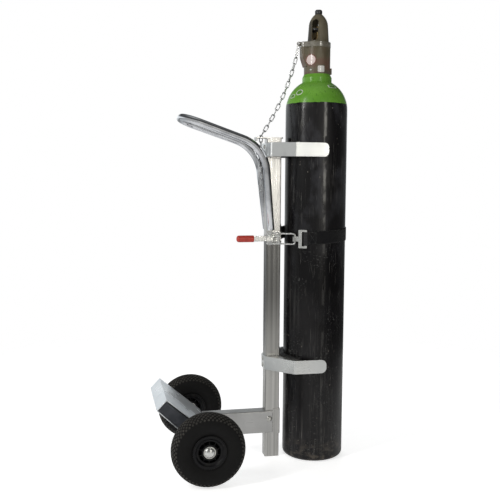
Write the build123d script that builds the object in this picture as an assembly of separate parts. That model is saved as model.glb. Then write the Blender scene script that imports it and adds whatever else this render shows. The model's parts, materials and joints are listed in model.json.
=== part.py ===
"""Single-bottle welding gas trolley: frame, wheels, strap clamp, safety chain and one gas bottle.

Units are millimetres.  +Z is up and Z = 0 is the floor.  +X runs from the wheels to the bottle,
and Y = 0 is the symmetry plane of the frame.  The clamp is on the -Y side, the "near" side.
"""

from build123d import *
import bisect
import math
import os

# ---------------------------------------------------------------- driving dimensions
LENGTH = 729.0                 # over all, from the axle box's rear edge to the strap round the bottle

BOTTLE_R = 114.5               # 229 mm steel bottle, 50 litres
BOTTLE_WALL = 6.0
BOTTLE_STRAIGHT_TOP = 1308.0   # the shoulder above is a hemisphere
NECK_RING_R = 54.5
NECK_RING_BOTTOM = 1404.0
GUARD_BOTTOM = 1438.0

STRAP_T = 3.0
STRAP_H = 50.0
STRAP_CLEARANCE = 0.2
STRAP_MID_R = BOTTLE_R + STRAP_CLEARANCE + STRAP_T / 2
STRAP_Z = 851.0
CATCH_R = STRAP_MID_R + 2.4    # radius that the catch plate's middle plane is tangent to
BOTTLE_X = LENGTH / 2 - STRAP_MID_R - STRAP_T / 2

POST_X = BOTTLE_X - 165.2
POST_W, POST_D, POST_T = 55.0, 45.0, 3.0
POST_TOP = 1202.0
POST_REAR = POST_X - POST_W / 2
POST_FRONT = POST_X + POST_W / 2
POST_SIDE = POST_D / 2

WHEEL_R = 130.0
WHEEL_Y = 252.5                # middle plane of each wheel
TYRE_W = 84.0
AXLE_X = BOTTLE_X - 443.6
AXLE_R = 10.0
HUB_R = 27.0
HUB_HALF = 34.0
RUNNING = 0.05                 # radial clearance of turning parts

BOX_HALF = 147.0               # axle box, half its length along Y
BOX_T = 3.0
ARM_BOTTOM, ARM_TOP = 93.0, 178.0

TUBE_R, TUBE_T = 13.45, 2.6    # handle tube
HANDLE_FOOT_Z = 866.0

BAR_T, BAR_H = 5.0, 50.0       # flat bar of both bottle brackets
BAR_INNER = BOTTLE_R + 1.0     # half the gap between a bracket's arms
UPPER_BAR_Z, LOWER_BAR_Z = 1134.5, 340.5

CLAMP_Z = 836.0
PIVOT_X, PIVOT_Y = BOTTLE_X - 154.4, -57.0
THROW = 35.0                   # lever pivot to trunnion
OVER_CENTRE = 4.7              # degrees past dead centre when shut
LEG_SPACING = 38.0
LEG_R = 3.0
HOOK_REACH = 96.0              # trunnion to the hook's cross bar

LINK_WIRE_R = 1.9
LINK_PITCH = 22.6
LINK_W = 15.0
CHAIN_TOP = (BOTTLE_X - 81.0, 1497.0)
SLOT_X = BOTTLE_X - 211.0
CHAIN_SAG = 14.0
HOOK_TURN = 40.0               # the snap hook's turn about its length; the chain unwinds it
CHAIN_LOW = POST_TOP + 4.0 + 2 * LINK_WIRE_R + 0.6
TAIL_LINKS = 9

GUARD_X = BOTTLE_X - 0.2
GUARD_R = 48.5
GUARD_FRONT = BOTTLE_X - 64.0  # outer face of the guard's snout
HOOD_X = BOTTLE_X + 3.0
WINDOW_TURN = -127.5           # the hood's near window, in degrees from +X; the other is opposite
WHEEL_VALVE_Z = 1600.0


# ---------------------------------------------------------------- helpers
def block(x, y, z):
    """A box from three (low, high) pairs."""
    size = [b - a for a, b in (x, y, z)]
    middle = [(a + b) / 2 for a, b in (x, y, z)]
    return Pos(*middle) * Box(*size)


def rod(start, end, radius):
    """A round rod between two points."""
    start, end = Vector(*start), Vector(*end)
    axis = end - start
    return Plane(origin=start, z_dir=axis) * Cylinder(
        radius, axis.length, align=(Align.CENTER, Align.CENTER, Align.MIN)
    )


def pipe(start, end, outer, inner):
    """A round tube between two points."""
    return rod(start, end, outer) - rod(start, end, inner)


def prism(points, plane, thickness, radius=0.0):
    """A polygon drawn on a plane and extruded both ways to a thickness."""
    face = make_face(Polyline(*points, close=True))
    if radius:
        face = fillet(face.vertices(), radius)
    return extrude(plane * face, thickness / 2, both=True)


def turned(points, origin, axis="Z"):
    """A solid of revolution from (radius, height) points about an axis through origin."""
    face = make_face(Polyline(*points, close=True))
    solid = revolve(Plane.XZ * face, Axis.Z)
    if axis == "Y":
        solid = Rot(X=-90) * solid
    return Pos(*origin) * solid


def bent_bar(points, radius, z_low):
    """Flat bar stood on edge along a plan path of centre-line points."""
    path = FilletPolyline(*points, radius=radius)
    face = trace(path, BAR_T)
    return Pos(Z=z_low) * extrude(face, BAR_H)


def mirrored(shape):
    """A shape and its mirror image on the far side."""
    return [shape, mirror(shape, Plane.XZ)]


def hexagon(centre, axis, across, height):
    """A hexagonal nut or bolt head."""
    face = RegularPolygon(across / 2, 6, major_radius=False)
    return extrude(Plane(origin=Vector(*centre), z_dir=Vector(*axis)) * face, height)


def hex_bolt(centre, axis, across=17.0, head=7.0, shank_r=5.0, length=10.0, washer_r=11.0):
    """A hexagon bolt whose washer sits at centre; the shank points against the axis."""
    direction = Vector(*axis)
    base = Vector(*centre)
    top = base + direction * 2.0
    washer = rod(tuple(base), tuple(top), washer_r)
    shank = rod(tuple(base), tuple(base - direction * length), shank_r)
    return washer + shank + hexagon(tuple(top), axis, across, head)


parts = {}


# ---------------------------------------------------------------- post and arm
def make_post():
    outline = RectangleRounded(POST_W, POST_D, 4.0)
    hollow = RectangleRounded(POST_W - 2 * POST_T, POST_D - 2 * POST_T, 1.5)
    post = Pos(POST_X, 0, 0) * extrude(outline - hollow, POST_TOP)
    parts["post_tube"] = post
    plug = RectangleRounded(POST_W - 2 * POST_T, POST_D - 2 * POST_T, 1.5)
    parts["post_foot_plug"] = Pos(POST_X, 0, 0) * extrude(plug, 18.0)


def make_keyhole_plate():
    rear, front = BOTTLE_X - 232.0, BOTTLE_X - 131.0
    half, thick, lip = 21.0, 4.0, 9.0
    plate = block((rear, front), (-half, half), (POST_TOP, POST_TOP + thick))
    plate += block((rear, rear + thick), (-half, half), (POST_TOP - lip, POST_TOP))
    plate = fillet(plate.edges().filter_by(Axis.Z).group_by(Axis.X)[-1], 6.0)
    through = (POST_TOP - 1, POST_TOP + thick + 1)
    slot = block((SLOT_X - 9.0, SLOT_X + 8.5), (-2.8, 2.8), through)
    eye = rod((SLOT_X - 8.0, 0, through[0]), (SLOT_X - 8.0, 0, through[1]), 7.0)
    parts["keyhole_plate"] = plate - slot - eye


def axle_box_outline():
    """Corner points of the axle box section in X and Z, rear edge first."""
    rear = (-LENGTH / 2, 242.0)
    ridge = (rear[0] + 35.5, 279.5)
    front = BOTTLE_X - 413.0
    slope = math.tan(math.radians(40.0))
    return [
        rear,
        ridge,
        (front, ridge[1] - (front - ridge[0]) * slope),
        (front, 100.0),
        (BOTTLE_X - 462.0, 100.0),
    ]


def box_face(shrink=0.0):
    """The axle box section, rounded round the axle, shrunk evenly by a wall thickness."""
    points = axle_box_outline()
    face = make_face(Polyline(*points, close=True))
    front = face.vertices().sort_by(Axis.X)[-2:]
    top = front.sort_by(Axis.Y)[-1]
    face = fillet(top, 26.0)
    low = face.vertices().group_by(Axis.Y)[0]
    face = fillet(low, 9.0)
    if shrink:
        face = offset(face, -shrink, kind=Kind.INTERSECTION)
    return face


def box_solid(face, half):
    return extrude(Plane.XZ * face, half, both=True)


def make_axle_box():
    shell = box_solid(box_face(), BOX_HALF) - box_solid(box_face(BOX_T), BOX_HALF + 1)
    parts["axle_box"] = shell
    cap_t, inset = 3.0, 3.0
    cap = box_solid(box_face(BOX_T), cap_t / 2)
    rear, ridge, front = axle_box_outline()[:3]
    slit_end = (front[0], front[1] - 12.0)
    slit = prism([(ridge[0] - 8, ridge[1] - 3.0), (ridge[0], ridge[1] + 9), (front[0], front[1] + 9),
                  slit_end], Plane.XZ, 4 * cap_t)
    cap -= slit
    cap -= rod((AXLE_X, -9, 130), (AXLE_X, 9, 130), AXLE_R + 0.1)
    near = Pos(Y=-(BOX_HALF - inset - cap_t / 2)) * cap
    parts["axle_box_end_caps"] = Compound(mirrored(near))


def make_arm():
    outer_y, wall = POST_SIDE + 2.8, 2.8
    rear, front = BOTTLE_X - 427.0, BOTTLE_X - 163.0
    height, middle = ARM_TOP - ARM_BOTTOM, (ARM_TOP + ARM_BOTTOM) / 2
    section = RectangleRounded(2 * outer_y, height, 5.0)
    hollow = RectangleRounded(2 * (outer_y - wall), height - 2 * wall, 2.5)
    place = Plane(origin=(rear, 0, middle), x_dir=(0, 1, 0), z_dir=(1, 0, 0))
    arm = extrude(place * (section - hollow), front - rear)
    arm -= box_solid(box_face(), BOX_HALF)
    arm -= block((POST_REAR, POST_FRONT + 9), (-POST_SIDE, POST_SIDE), (0, 400))
    parts["arm_tube"] = arm
    low, high = 90.0, 185.5
    collar = block((front, POST_FRONT + wall), (-outer_y, outer_y), (low, high))
    collar = fillet(collar.edges().filter_by(Axis.Z).group_by(Axis.X)[-1], 3.5)
    parts["arm_collar"] = collar - block((front - 1, POST_FRONT), (-POST_SIDE, POST_SIDE), (0, 400))
    bolts = []
    bolt_x, bolt_z = BOTTLE_X - 176.0, 148.0
    for side in (-1, 1):
        seat = (bolt_x, side * outer_y, bolt_z)
        dome = Pos(*seat) * Rot(X=90 if side < 0 else -90) * dome_head(11.0, 5.5)
        bolts.append(dome)
    parts["arm_bolts"] = Compound(bolts)


def dome_head(radius, height):
    """A shallow domed bolt head standing on Z = 0."""
    sphere_r = (radius ** 2 + height ** 2) / (2 * height)
    arc = RadiusArc((radius, 0), (0, height), -sphere_r)
    face = make_face(Curve() + [Line((0, 0), (radius, 0)), arc, Line((0, height), (0, 0))])
    return revolve(Plane.XZ * face, Axis.Z)


# ---------------------------------------------------------------- axle and wheels
def make_axle():
    end = WHEEL_Y + HUB_HALF
    parts["axle"] = rod((AXLE_X, -end, 130), (AXLE_X, end, 130), AXLE_R)
    inner = WHEEL_Y - HUB_HALF - 2.5
    sleeve_start = BOX_HALF - 3.0
    sleeve = pipe((AXLE_X, -inner, 130), (AXLE_X, -sleeve_start, 130), 15.0, AXLE_R + 0.1)
    parts["axle_sleeves"] = Compound(mirrored(sleeve))
    washer = pipe((AXLE_X, -inner - 2.2, 130), (AXLE_X, -inner, 130), 19.0, AXLE_R + 0.1)
    parts["axle_washers"] = Compound(mirrored(washer))
    cap_r, rim_h = 17.5, 3.5
    cap = rod((0, 0, 0), (0, 0, rim_h), cap_r) + Pos(Z=rim_h) * dome_head(cap_r, 8.0)
    cap = Pos(AXLE_X, -end, 130) * Rot(X=90) * cap
    parts["hub_caps"] = Compound(mirrored(cap))


def make_wheel(side, name):
    """One wheel: foam-filled tyre, black rim, two bearings and the spacer between them."""
    half = TYRE_W / 2
    shoulder, crown = WHEEL_R - 8.0, 21.0
    bead, seat_r = 29.0, 52.0
    outline = Curve() + [
        Line((seat_r, -bead), (62.0, -bead - 2)),
        ThreePointArc((62.0, -bead - 2), (88.0, -half), (shoulder - 6, -half + 7)),
        ThreePointArc((shoulder - 6, -half + 7), (shoulder, -half + 13), (shoulder + 3.5, -crown)),
        ThreePointArc((shoulder + 3.5, -crown), (WHEEL_R, 0), (shoulder + 3.5, crown)),
        ThreePointArc((shoulder + 3.5, crown), (shoulder, half - 13), (shoulder - 6, half - 7)),
        ThreePointArc((shoulder - 6, half - 7), (88.0, half), (62.0, bead + 2)),
        Line((62.0, bead + 2), (seat_r, bead)),
        Line((seat_r, bead), (seat_r, -bead)),
    ]
    tyre = revolve(Plane.XZ * make_face(outline), Axis.Z)
    rim = [
        (seat_r, -bead - 0.3), (58.0, -bead - 3.5), (58.0, -bead - 6.5), (50.0, -bead - 6.5),
        (44.0, -bead - 1.0), (38.5, -bead), (36.0, -8.0), (HUB_R + 2, -5.0), (HUB_R, -HUB_HALF + 0.4),
        (21.0, -HUB_HALF + 0.4), (21.0, -HUB_HALF + 12.4), (17.0, -HUB_HALF + 12.4),
    ]
    section = rim + [(r, -h) for r, h in reversed(rim)]
    wheel = {
        "tyre": tyre,
        "rim": turned(section, (0, 0, 0)),
        "bearings": Compound([
            turned([(AXLE_R + RUNNING, h), (21.0, h), (21.0, h + 12.0), (AXLE_R + RUNNING, h + 12.0)],
                   (0, 0, 0)) for h in (-HUB_HALF + 0.4, HUB_HALF - 12.4)]),
        "bearing_spacer": turned([(AXLE_R + 1.0, -HUB_HALF + 12.4), (14.0, -HUB_HALF + 12.4),
                                  (14.0, HUB_HALF - 12.4), (AXLE_R + 1.0, HUB_HALF - 12.4)], (0, 0, 0)),
    }
    for label, solid in wheel.items():
        parts[f"{name}_{label}"] = Pos(AXLE_X, side * WHEEL_Y, 130) * Rot(X=-90 * side) * solid


# ---------------------------------------------------------------- handle
def make_handle():
    foot_y = POST_SIDE + TUBE_R - 1.2
    foot_x, knee_x, end_x = BOTTLE_X - 178.7, BOTTLE_X - 209.8, BOTTLE_X - 506.0
    knee = (knee_x, 66.0, 1168.5)
    end = (end_x, 80.0, 1270.0)
    near = [(foot_x, -foot_y, HANDLE_FOOT_Z), (knee[0], -knee[1], knee[2]), (end[0], -end[1], end[2])]
    far = [(x, -y, z) for x, y, z in reversed(near)]
    path = FilletPolyline(*near, *far, radius=[135.0, 62.0, 62.0, 135.0])
    start = Plane(origin=path @ 0, z_dir=path % 0)
    outer = sweep(start * Circle(TUBE_R), path=path)
    inner = sweep(start * Circle(TUBE_R - TUBE_T), path=path)
    tube = outer - inner
    tube -= block((POST_REAR - 20, POST_FRONT), (-POST_SIDE, POST_SIDE), (0, POST_TOP))
    parts["handle_tube"] = tube
    lean = math.atan2(knee[1] - foot_y, knee[2] - HANDLE_FOOT_Z)
    top = 62.0
    gusset = prism([(-POST_SIDE, HANDLE_FOOT_Z + 14), (-foot_y + 4, HANDLE_FOOT_Z + 14),
                    (-foot_y + 3 - top * math.tan(lean), HANDLE_FOOT_Z + 14 + top),
                    (-POST_SIDE, HANDLE_FOOT_Z + 14 + top)],
                   Plane(origin=(foot_x - 4.5, 0, 0), x_dir=(0, 1, 0), z_dir=(1, 0, 0)), 4.0)
    gusset -= outer
    parts["handle_gussets"] = Compound(mirrored(gusset))


# ---------------------------------------------------------------- bottle brackets
def make_brackets():
    mid = BAR_INNER + BAR_T / 2
    rear = POST_REAR - BAR_T / 2
    for name, tip, tip_radius, bend, corner_y, z in (
        ("upper_bracket", 14.0, 17.0, -109.0, 88.5, UPPER_BAR_Z),
        ("lower_bracket", 16.5, 20.0, -102.5, 26.0, LOWER_BAR_Z),
    ):
        near = [(BOTTLE_X + tip, -mid), (BOTTLE_X + bend, -mid), (rear, -corner_y)]
        far = [(x, -y) for x, y in reversed(near)]
        bar = bent_bar(near + far, 12.0, z)
        tips = bar.edges().filter_by(Axis.Y).group_by(Axis.X)[-1]
        parts[name] = fillet(tips, tip_radius)
    bolts = []
    for z in (UPPER_BAR_Z, LOWER_BAR_Z):
        for dz in (13.0, 37.0):
            head = Pos(POST_REAR - BAR_T, 0, z + dz) * Rot(Y=-90) * dome_head(8.5, 4.2)
            shank = rod((POST_REAR - BAR_T, 0, z + dz), (POST_REAR + 8.0, 0, z + dz), 4.0)
            bolts.append(head + shank)
    parts["bracket_bolts"] = Compound(bolts)
    parts["upper_bracket"] -= parts["bracket_bolts"]
    parts["lower_bracket"] -= parts["bracket_bolts"]
    parts["post_tube"] -= parts["bracket_bolts"]


def make_saddles():
    """Flanges between the lower bracket's arms, and the rubber blocks the bottle leans on."""
    saddle_r = BOTTLE_X - POST_FRONT
    rear_y = 26.0
    mid = BAR_INNER
    outline = [(BOTTLE_X - 30, -mid), (BOTTLE_X - 103.5, -mid), (POST_REAR, -rear_y + 1),
               (POST_REAR, rear_y - 1), (BOTTLE_X - 103.5, mid), (BOTTLE_X - 30, mid)]
    flange = prism(outline, Plane.XY, 4.0)
    flange -= Pos(BOTTLE_X, 0, 0) * Cylinder(saddle_r, 20)
    flange -= block((POST_REAR, POST_FRONT), (-POST_SIDE, POST_SIDE), (-9, 9))
    flange -= Pos(0, 0, -LOWER_BAR_Z - 20) * parts["lower_bracket"]
    flanges = [Pos(0, 0, LOWER_BAR_Z + z) * flange for z in (2.0, BAR_H - 2.0)]
    parts["lower_bracket_flanges"] = Compound(flanges)
    for name, z, height, reach in (("upper_saddle", UPPER_BAR_Z + 1, BAR_H - 2, 24.0),
                                   ("lower_saddle", LOWER_BAR_Z, BAR_H + 4, 52.0)):
        ring = Pos(BOTTLE_X, 0, z) * extrude(Circle(saddle_r) - Circle(BOTTLE_R + 0.3), height)
        edge = math.tan(math.radians(reach)) * 300
        wedge = prism([(BOTTLE_X, 0), (BOTTLE_X - 300, -edge), (BOTTLE_X - 300, edge)],
                      Plane.XY.offset(z + height / 2), height + 2)
        block_of_rubber = ring & wedge
        parts[name] = block_of_rubber - parts["upper_bracket"] - parts["lower_bracket"]


# ---------------------------------------------------------------- strap clamp
def unit(angle):
    return Vector(math.cos(math.radians(angle)), math.sin(math.radians(angle)))


BOTTLE_AXIS = Vector(BOTTLE_X, 0)
PIVOT = Vector(PIVOT_X, PIVOT_Y)
PLATE_DROP = STRAP_T / 2 + LEG_R + 0.4      # hook centre line to the catch plate's middle


def tangent_direction(point, radius, sign):
    """Direction and length of the tangent from a point to a circle round the bottle axis."""
    to_axis = BOTTLE_AXIS - point
    away = math.degrees(math.asin(radius / to_axis.length))
    heading = math.degrees(math.atan2(to_axis.Y, to_axis.X)) + sign * away
    return unit(heading), math.sqrt(to_axis.length ** 2 - radius ** 2)


def closed_trunnion():
    """Trunnion centre when the lever is shut, just past the line of pull."""
    angle = 150.0
    for _ in range(30):
        centre = PIVOT + unit(angle) * THROW
        pull, _reach = tangent_direction(centre, CATCH_R + PLATE_DROP, -1)
        back = math.degrees(math.atan2(-pull.Y, -pull.X))
        angle = back - OVER_CENTRE
    return centre


TRUNNION = closed_trunnion()
PULL, PULL_REACH = tangent_direction(TRUNNION, CATCH_R + PLATE_DROP, -1)
INWARD = Vector(-PULL.Y, PULL.X)            # from the line of pull towards the bottle


def on_pull(along, inward=0.0, z=CLAMP_Z):
    """A point by its distance along the line of pull and towards the bottle."""
    p = TRUNNION + PULL * along + INWARD * inward
    return (p.X, p.Y, z)


def pull_block(along, inward, z):
    """A box lined up with the line of pull."""
    start = Vector(*on_pull(0, 0, 0))
    plane = Plane(origin=start, x_dir=(PULL.X, PULL.Y, 0), z_dir=(0, 0, 1))
    return plane * block(along, inward, z)


def clamp_hull(circles, z_low, z_high):
    """A flat plate round a set of (x, y, radius) circles."""
    outlines = [Pos(x, y) * Circle(r) for x, y, r in circles]
    hull = make_hull([e for o in outlines for e in o.edges()])
    return Pos(Z=CLAMP_Z + z_low) * extrude(hull, z_high - z_low)


def make_clamp_base():
    face = -POST_SIDE
    plate = block((POST_REAR + 2, POST_FRONT - 1), (face - 4, face), (CLAMP_Z - 25, CLAMP_Z + 25))
    plate = fillet(plate.edges().filter_by(Axis.Y), 5.0)
    for side in (-1, 1):
        low, high = sorted((side * 10.4, side * 13.4))
        cheek = clamp_hull([(PIVOT.X, PIVOT.Y, 10.0), (PIVOT.X - 12, face - 7, 5.0),
                            (PIVOT.X + 12, face - 7, 5.0)], low, high)
        plate += cheek
    pin_hole = rod((PIVOT.X, PIVOT.Y, CLAMP_Z - 20), (PIVOT.X, PIVOT.Y, CLAMP_Z + 20), 5.0)
    parts["clamp_base"] = plate - pin_hole
    pin = rod((PIVOT.X, PIVOT.Y, CLAMP_Z - 14.9), (PIVOT.X, PIVOT.Y, CLAMP_Z + 14.9), 5.0)
    for side in (-1, 1):
        z = CLAMP_Z + side * 13.4
        pin += rod((PIVOT.X, PIVOT.Y, z), (PIVOT.X, PIVOT.Y, z + side * 1.8), 7.0)
    parts["clamp_pivot_pin"] = pin
    screws = []
    for x in (PIVOT.X - 22.0, PIVOT.X + 10.5):
        for dz in (-18.5, 18.5):
            head = Pos(x, face - 4, CLAMP_Z + dz) * Rot(X=90) * dome_head(4.6, 2.4)
            screws.append(head)
    parts["clamp_base_screws"] = Compound(screws)


def make_lever():
    bar_y = PIVOT.Y + 3.0
    bar_x = PIVOT.X - 44.0
    cheeks = None
    for low, high in ((-10.0, -7.0), (7.0, 10.0)):
        plate = clamp_hull([(PIVOT.X, PIVOT.Y, 9.5), (TRUNNION.X, TRUNNION.Y, 8.5),
                            (bar_x, bar_y, 8.0)], low, high)
        cheeks = plate if cheeks is None else cheeks + plate
    web = block((bar_x - 2, bar_x + 14), (bar_y - 8, bar_y - 5), (CLAMP_Z - 10, CLAMP_Z + 10))
    arm_end = BOTTLE_X - 300.0
    arm = block((arm_end, bar_x + 3), (bar_y - 4, bar_y + 4), (CLAMP_Z - 10, CLAMP_Z + 10))
    arm = fillet(arm.edges().filter_by(Axis.X), 2.0)
    lever = cheeks + web + arm
    for centre, radius in ((PIVOT, 5.0), (TRUNNION, 5.0)):
        bottom = (centre.X, centre.Y, CLAMP_Z - 20)
        top = (centre.X, centre.Y, CLAMP_Z + 20)
        lever -= rod(bottom, top, radius + RUNNING)
    parts["clamp_lever"] = lever
    grip_r, grip_start, grip_end = 12.4, BOTTLE_X - 247.5, BOTTLE_X - 311.0
    grip = rod((grip_start, bar_y, CLAMP_Z), (grip_end, bar_y, CLAMP_Z), grip_r)
    grip = fillet(grip.edges().filter_by(GeomType.CIRCLE).group_by(Axis.X)[0], 9.0)
    grip = fillet(grip.edges().filter_by(GeomType.CIRCLE).group_by(Axis.X)[-1], 2.0)
    parts["lever_grip"] = grip - arm


def make_clamp_hook():
    half = LEG_SPACING / 2
    tail = -12.5
    corners = [on_pull(tail, 0, CLAMP_Z + half), on_pull(HOOK_REACH, 0, CLAMP_Z + half),
               on_pull(HOOK_REACH, 0, CLAMP_Z - half), on_pull(tail, 0, CLAMP_Z - half)]
    path = FilletPolyline(*corners, radius=8.0)
    start = Plane(origin=path @ 0, z_dir=path % 0)
    hook = sweep(start * Circle(LEG_R), path=path)
    parts["u_bolt"] = hook
    trunnion = rod((TRUNNION.X, TRUNNION.Y, CLAMP_Z - 24), (TRUNNION.X, TRUNNION.Y, CLAMP_Z + 24), 5.0)
    for side in (-1, 1):
        trunnion += pull_block((-5.5, 5.5), (-5.5, 5.5), sorted((CLAMP_Z + side * 12, CLAMP_Z + side * 25)))
    trunnion = trunnion - hook
    parts["trunnion"] = trunnion
    nuts = []
    for side in (-1, 1):
        for along in (-10.5, 5.5):
            centre = on_pull(along, 0, CLAMP_Z + side * half)
            nuts.append(hexagon(centre, (PULL.X, PULL.Y, 0), 10.0, 5.0))
    parts["u_bolt_nuts"] = Compound([n - hook for n in nuts])


def make_catch_plate():
    lip_end = HOOK_REACH - LEG_R - 0.4
    drop = (PLATE_DROP - STRAP_T / 2, PLATE_DROP + STRAP_T / 2)

    def z(half):
        return (CLAMP_Z - half, CLAMP_Z + half)

    body_start = HOOK_REACH + 12.0
    body_end = body_start + 32.0
    plate = pull_block((lip_end - 3, body_start + 1), drop, z(9.0))
    plate += pull_block((lip_end - 3, lip_end), (-LEG_R - 2.5, drop[1]), z(9.0))
    body = pull_block((body_start, body_end), drop, z(33.5))
    body -= pull_block((body_start + 13, body_start + 22), (drop[0] - 1, drop[1] + 1), z(26.5))
    normal = Axis(origin=(0, 0, 0), direction=(INWARD.X, INWARD.Y, 0))
    body = fillet(body.edges().filter_by(normal).group_by(Axis.Z)[0], 3.0)
    body = fillet(body.edges().filter_by(normal).group_by(Axis.Z)[-1], 3.0)
    parts["catch_plate"] = plate + body
    return body_start + 22.0, body_end


def strap_loop(plane, bar, middle, z):
    """The webbing's end, folded round a bar of a 3 mm plate."""
    def around(grow, height):
        return block((bar[0] - 0.3 - grow, bar[1] + 0.3 + grow),
                     (middle - 1.7 - grow, middle + 1.7 + grow), (z - height, z + height))

    outer = around(1.6, STRAP_H / 2)
    outer = fillet(outer.edges().filter_by(Axis.Z), 2.0)
    return plane * (outer - around(0.0, STRAP_H))


def make_strap(bar):
    """Webbing from the catch plate, round the front of the bottle to the far side of the post."""
    near_plane = Plane(origin=Vector(*on_pull(0, 0, 0)), x_dir=(PULL.X, PULL.Y, 0), z_dir=(0, 0, 1))
    near_loop = strap_loop(near_plane, bar, PLATE_DROP, CLAMP_Z + 1)
    first = Vector(*on_pull(bar[1] + 2.3, PLATE_DROP, 0))
    near_pull, near_reach = tangent_direction(first, STRAP_MID_R, -1)

    corner = Vector(POST_FRONT + 1.5, POST_SIDE + 1.5)
    far_pull, far_reach = tangent_direction(corner, STRAP_MID_R, 1)
    ear = 20.0
    far_plane = Plane(origin=(corner.X, corner.Y, 0), x_dir=(far_pull.X, far_pull.Y, 0), z_dir=(0, 0, 1))
    far_bar = (ear - 8.0, ear)
    far_loop = strap_loop(far_plane, far_bar, 0.0, STRAP_Z)
    last = corner + far_pull * (ear + 2.3)
    parts["strap_end_loops"] = Compound([near_loop, far_loop])

    tangent_near = first + near_pull * near_reach
    tangent_far = corner + far_pull * far_reach
    front = (BOTTLE_X + STRAP_MID_R, 0)
    path = Curve() + [
        Line(first, tangent_near),
        ThreePointArc(tangent_near, front, tangent_far),
        Line(tangent_far, last),
    ]
    band = extrude(trace(path, STRAP_T), STRAP_H / 2, both=True)
    parts["strap"] = Pos(0, 0, STRAP_Z) * band

    z = (STRAP_Z - 32, STRAP_Z + 14)
    low = POST_SIDE
    plate = block((POST_REAR + 3, POST_FRONT + 1), (low, low + 3), z)
    wing = block((0, ear), (-1.5, 1.5), (STRAP_Z - 32, STRAP_Z + 32))
    wing -= block((ear - 16, ear - 8), (-2, 2), (STRAP_Z - 26, STRAP_Z + 26))
    bend = rod((corner.X, corner.Y, STRAP_Z - 32), (corner.X, corner.Y, STRAP_Z + 32), 1.5)
    wing = far_plane * wing + bend
    bolts = []
    for dz in (-21, 3):
        bolts.append(hex_bolt((POST_X - 8, low + 3, STRAP_Z + dz), (0, 1, 0), 13, 5.5, 4, 8.0, 8))
    parts["strap_anchor_bolts"] = Compound(bolts)
    parts["strap_anchor_plate"] = plate + wing - parts["strap_anchor_bolts"]
    parts["post_tube"] -= parts["strap_anchor_bolts"]


# ---------------------------------------------------------------- chain
def link(centre, along, flat, pitch):
    """One chain link: centre, direction of its long axis, and the normal of its plane."""
    straight = pitch - LINK_W + 4 * LINK_WIRE_R + 0.3
    radius = LINK_W / 2 - LINK_WIRE_R
    path = Wire(SlotCenterToCenter(straight, 2 * radius).edges())
    start = Plane(origin=path @ 0, z_dir=path % 0)
    ring = sweep(start * Circle(LINK_WIRE_R), path=path)
    place = Plane(origin=Vector(*centre), x_dir=Vector(*along), z_dir=Vector(*flat))
    return place * ring


def chain_point(t):
    """A point of the hanging chain, t from 0 at the hook to 1 at the keyhole plate."""
    top = Vector(CHAIN_TOP[0], 0, CHAIN_TOP[1])
    low = Vector(SLOT_X, 0, CHAIN_LOW)
    chord = low - top
    sideways = Vector(-chord.Z, 0, chord.X).normalized()
    return top + chord * t + sideways * (4 * CHAIN_SAG * t * (1 - t))


def make_chain():
    steps = 400
    fine = [chain_point(i / steps) for i in range(steps + 1)]
    lengths = [0.0]
    for a, b in zip(fine, fine[1:]):
        lengths.append(lengths[-1] + (b - a).length)
    count = round(lengths[-1] / LINK_PITCH)
    pitch = lengths[-1] / count

    def at(distance):
        index = bisect.bisect_left(lengths, distance - 1e-6)
        return fine[min(index, steps)]

    taut = []
    for i in range(count):
        a, b = at(i * pitch), at((i + 1) * pitch)
        along = (b - a).normalized()
        twist = math.radians(HOOK_TURN) * (1 - (i + 1) / count)
        across = Vector(0, 1, 0) * math.cos(twist) + along.cross(Vector(0, 1, 0)) * math.sin(twist)
        flat = along.cross(across) if i % 2 else across
        taut.append(link(tuple((a + b) * 0.5), tuple(along), tuple(flat), pitch))
    parts["chain_taut"] = Compound(taut)
    tail = []
    for i in range(TAIL_LINKS):
        z = CHAIN_LOW + 0.8 - (i + 0.5) * LINK_PITCH
        flat = (1, 0, 0) if (count + i) % 2 else (0, 1, 0)
        tail.append(link((SLOT_X, 0, z), (0, 0, -1), flat, LINK_PITCH))
    parts["chain_tail"] = Compound(tail)


def make_snap_hook():
    """Wire snap hook between the guard's eye and the chain; its gate is one long side."""
    wire, width, length = 1.75, 17.0, 58.0
    down = Vector(-0.19, 0, -1).normalized()
    low = Vector(CHAIN_TOP[0], 0, CHAIN_TOP[1]) + down * 1.9
    turn = math.radians(HOOK_TURN)
    across = Vector(0, 1, 0) * math.cos(turn) + down.cross(Vector(0, 1, 0)) * math.sin(turn)
    centre = low - down * (length / 2 - wire)
    flat = down.cross(across)
    place = Plane(origin=centre, x_dir=down, z_dir=flat)
    path = Wire(SlotCenterToCenter(length - width, width - 2 * wire).edges())
    start = Plane(origin=path @ 0, z_dir=path % 0)
    ring = sweep(start * Circle(wire), path=path)
    gate_half = 13.0
    side = width / 2 - wire
    gap = block((-gate_half, gate_half), (side - 3, side + 3), (-3, 3))
    parts["snap_hook"] = place * (ring - gap)
    gate = rod((-gate_half + 0.6, side, 0), (gate_half - 0.6, side, 0), wire)
    parts["snap_hook_gate"] = place * gate
    pivot = place.from_local_coords(Vector(gate_half - 1.5, side, 0))
    return pivot, flat, place.from_local_coords(Vector(-length / 2 + wire, 0, 0))


# ---------------------------------------------------------------- bottle, valve and guard
def axis_arc(edge, centre_z, end_r):
    """Arc of a sphere centred on the axis, from an edge point (r, z) in to radius end_r."""
    radius = math.hypot(edge[0], edge[1] - centre_z)
    above = 1 if edge[1] >= centre_z else -1

    def point(r):
        return (r, centre_z + above * math.sqrt(max(radius ** 2 - r ** 2, 0)))

    return ThreePointArc(edge, point((edge[0] + end_r) * 0.6), point(end_r))


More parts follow.
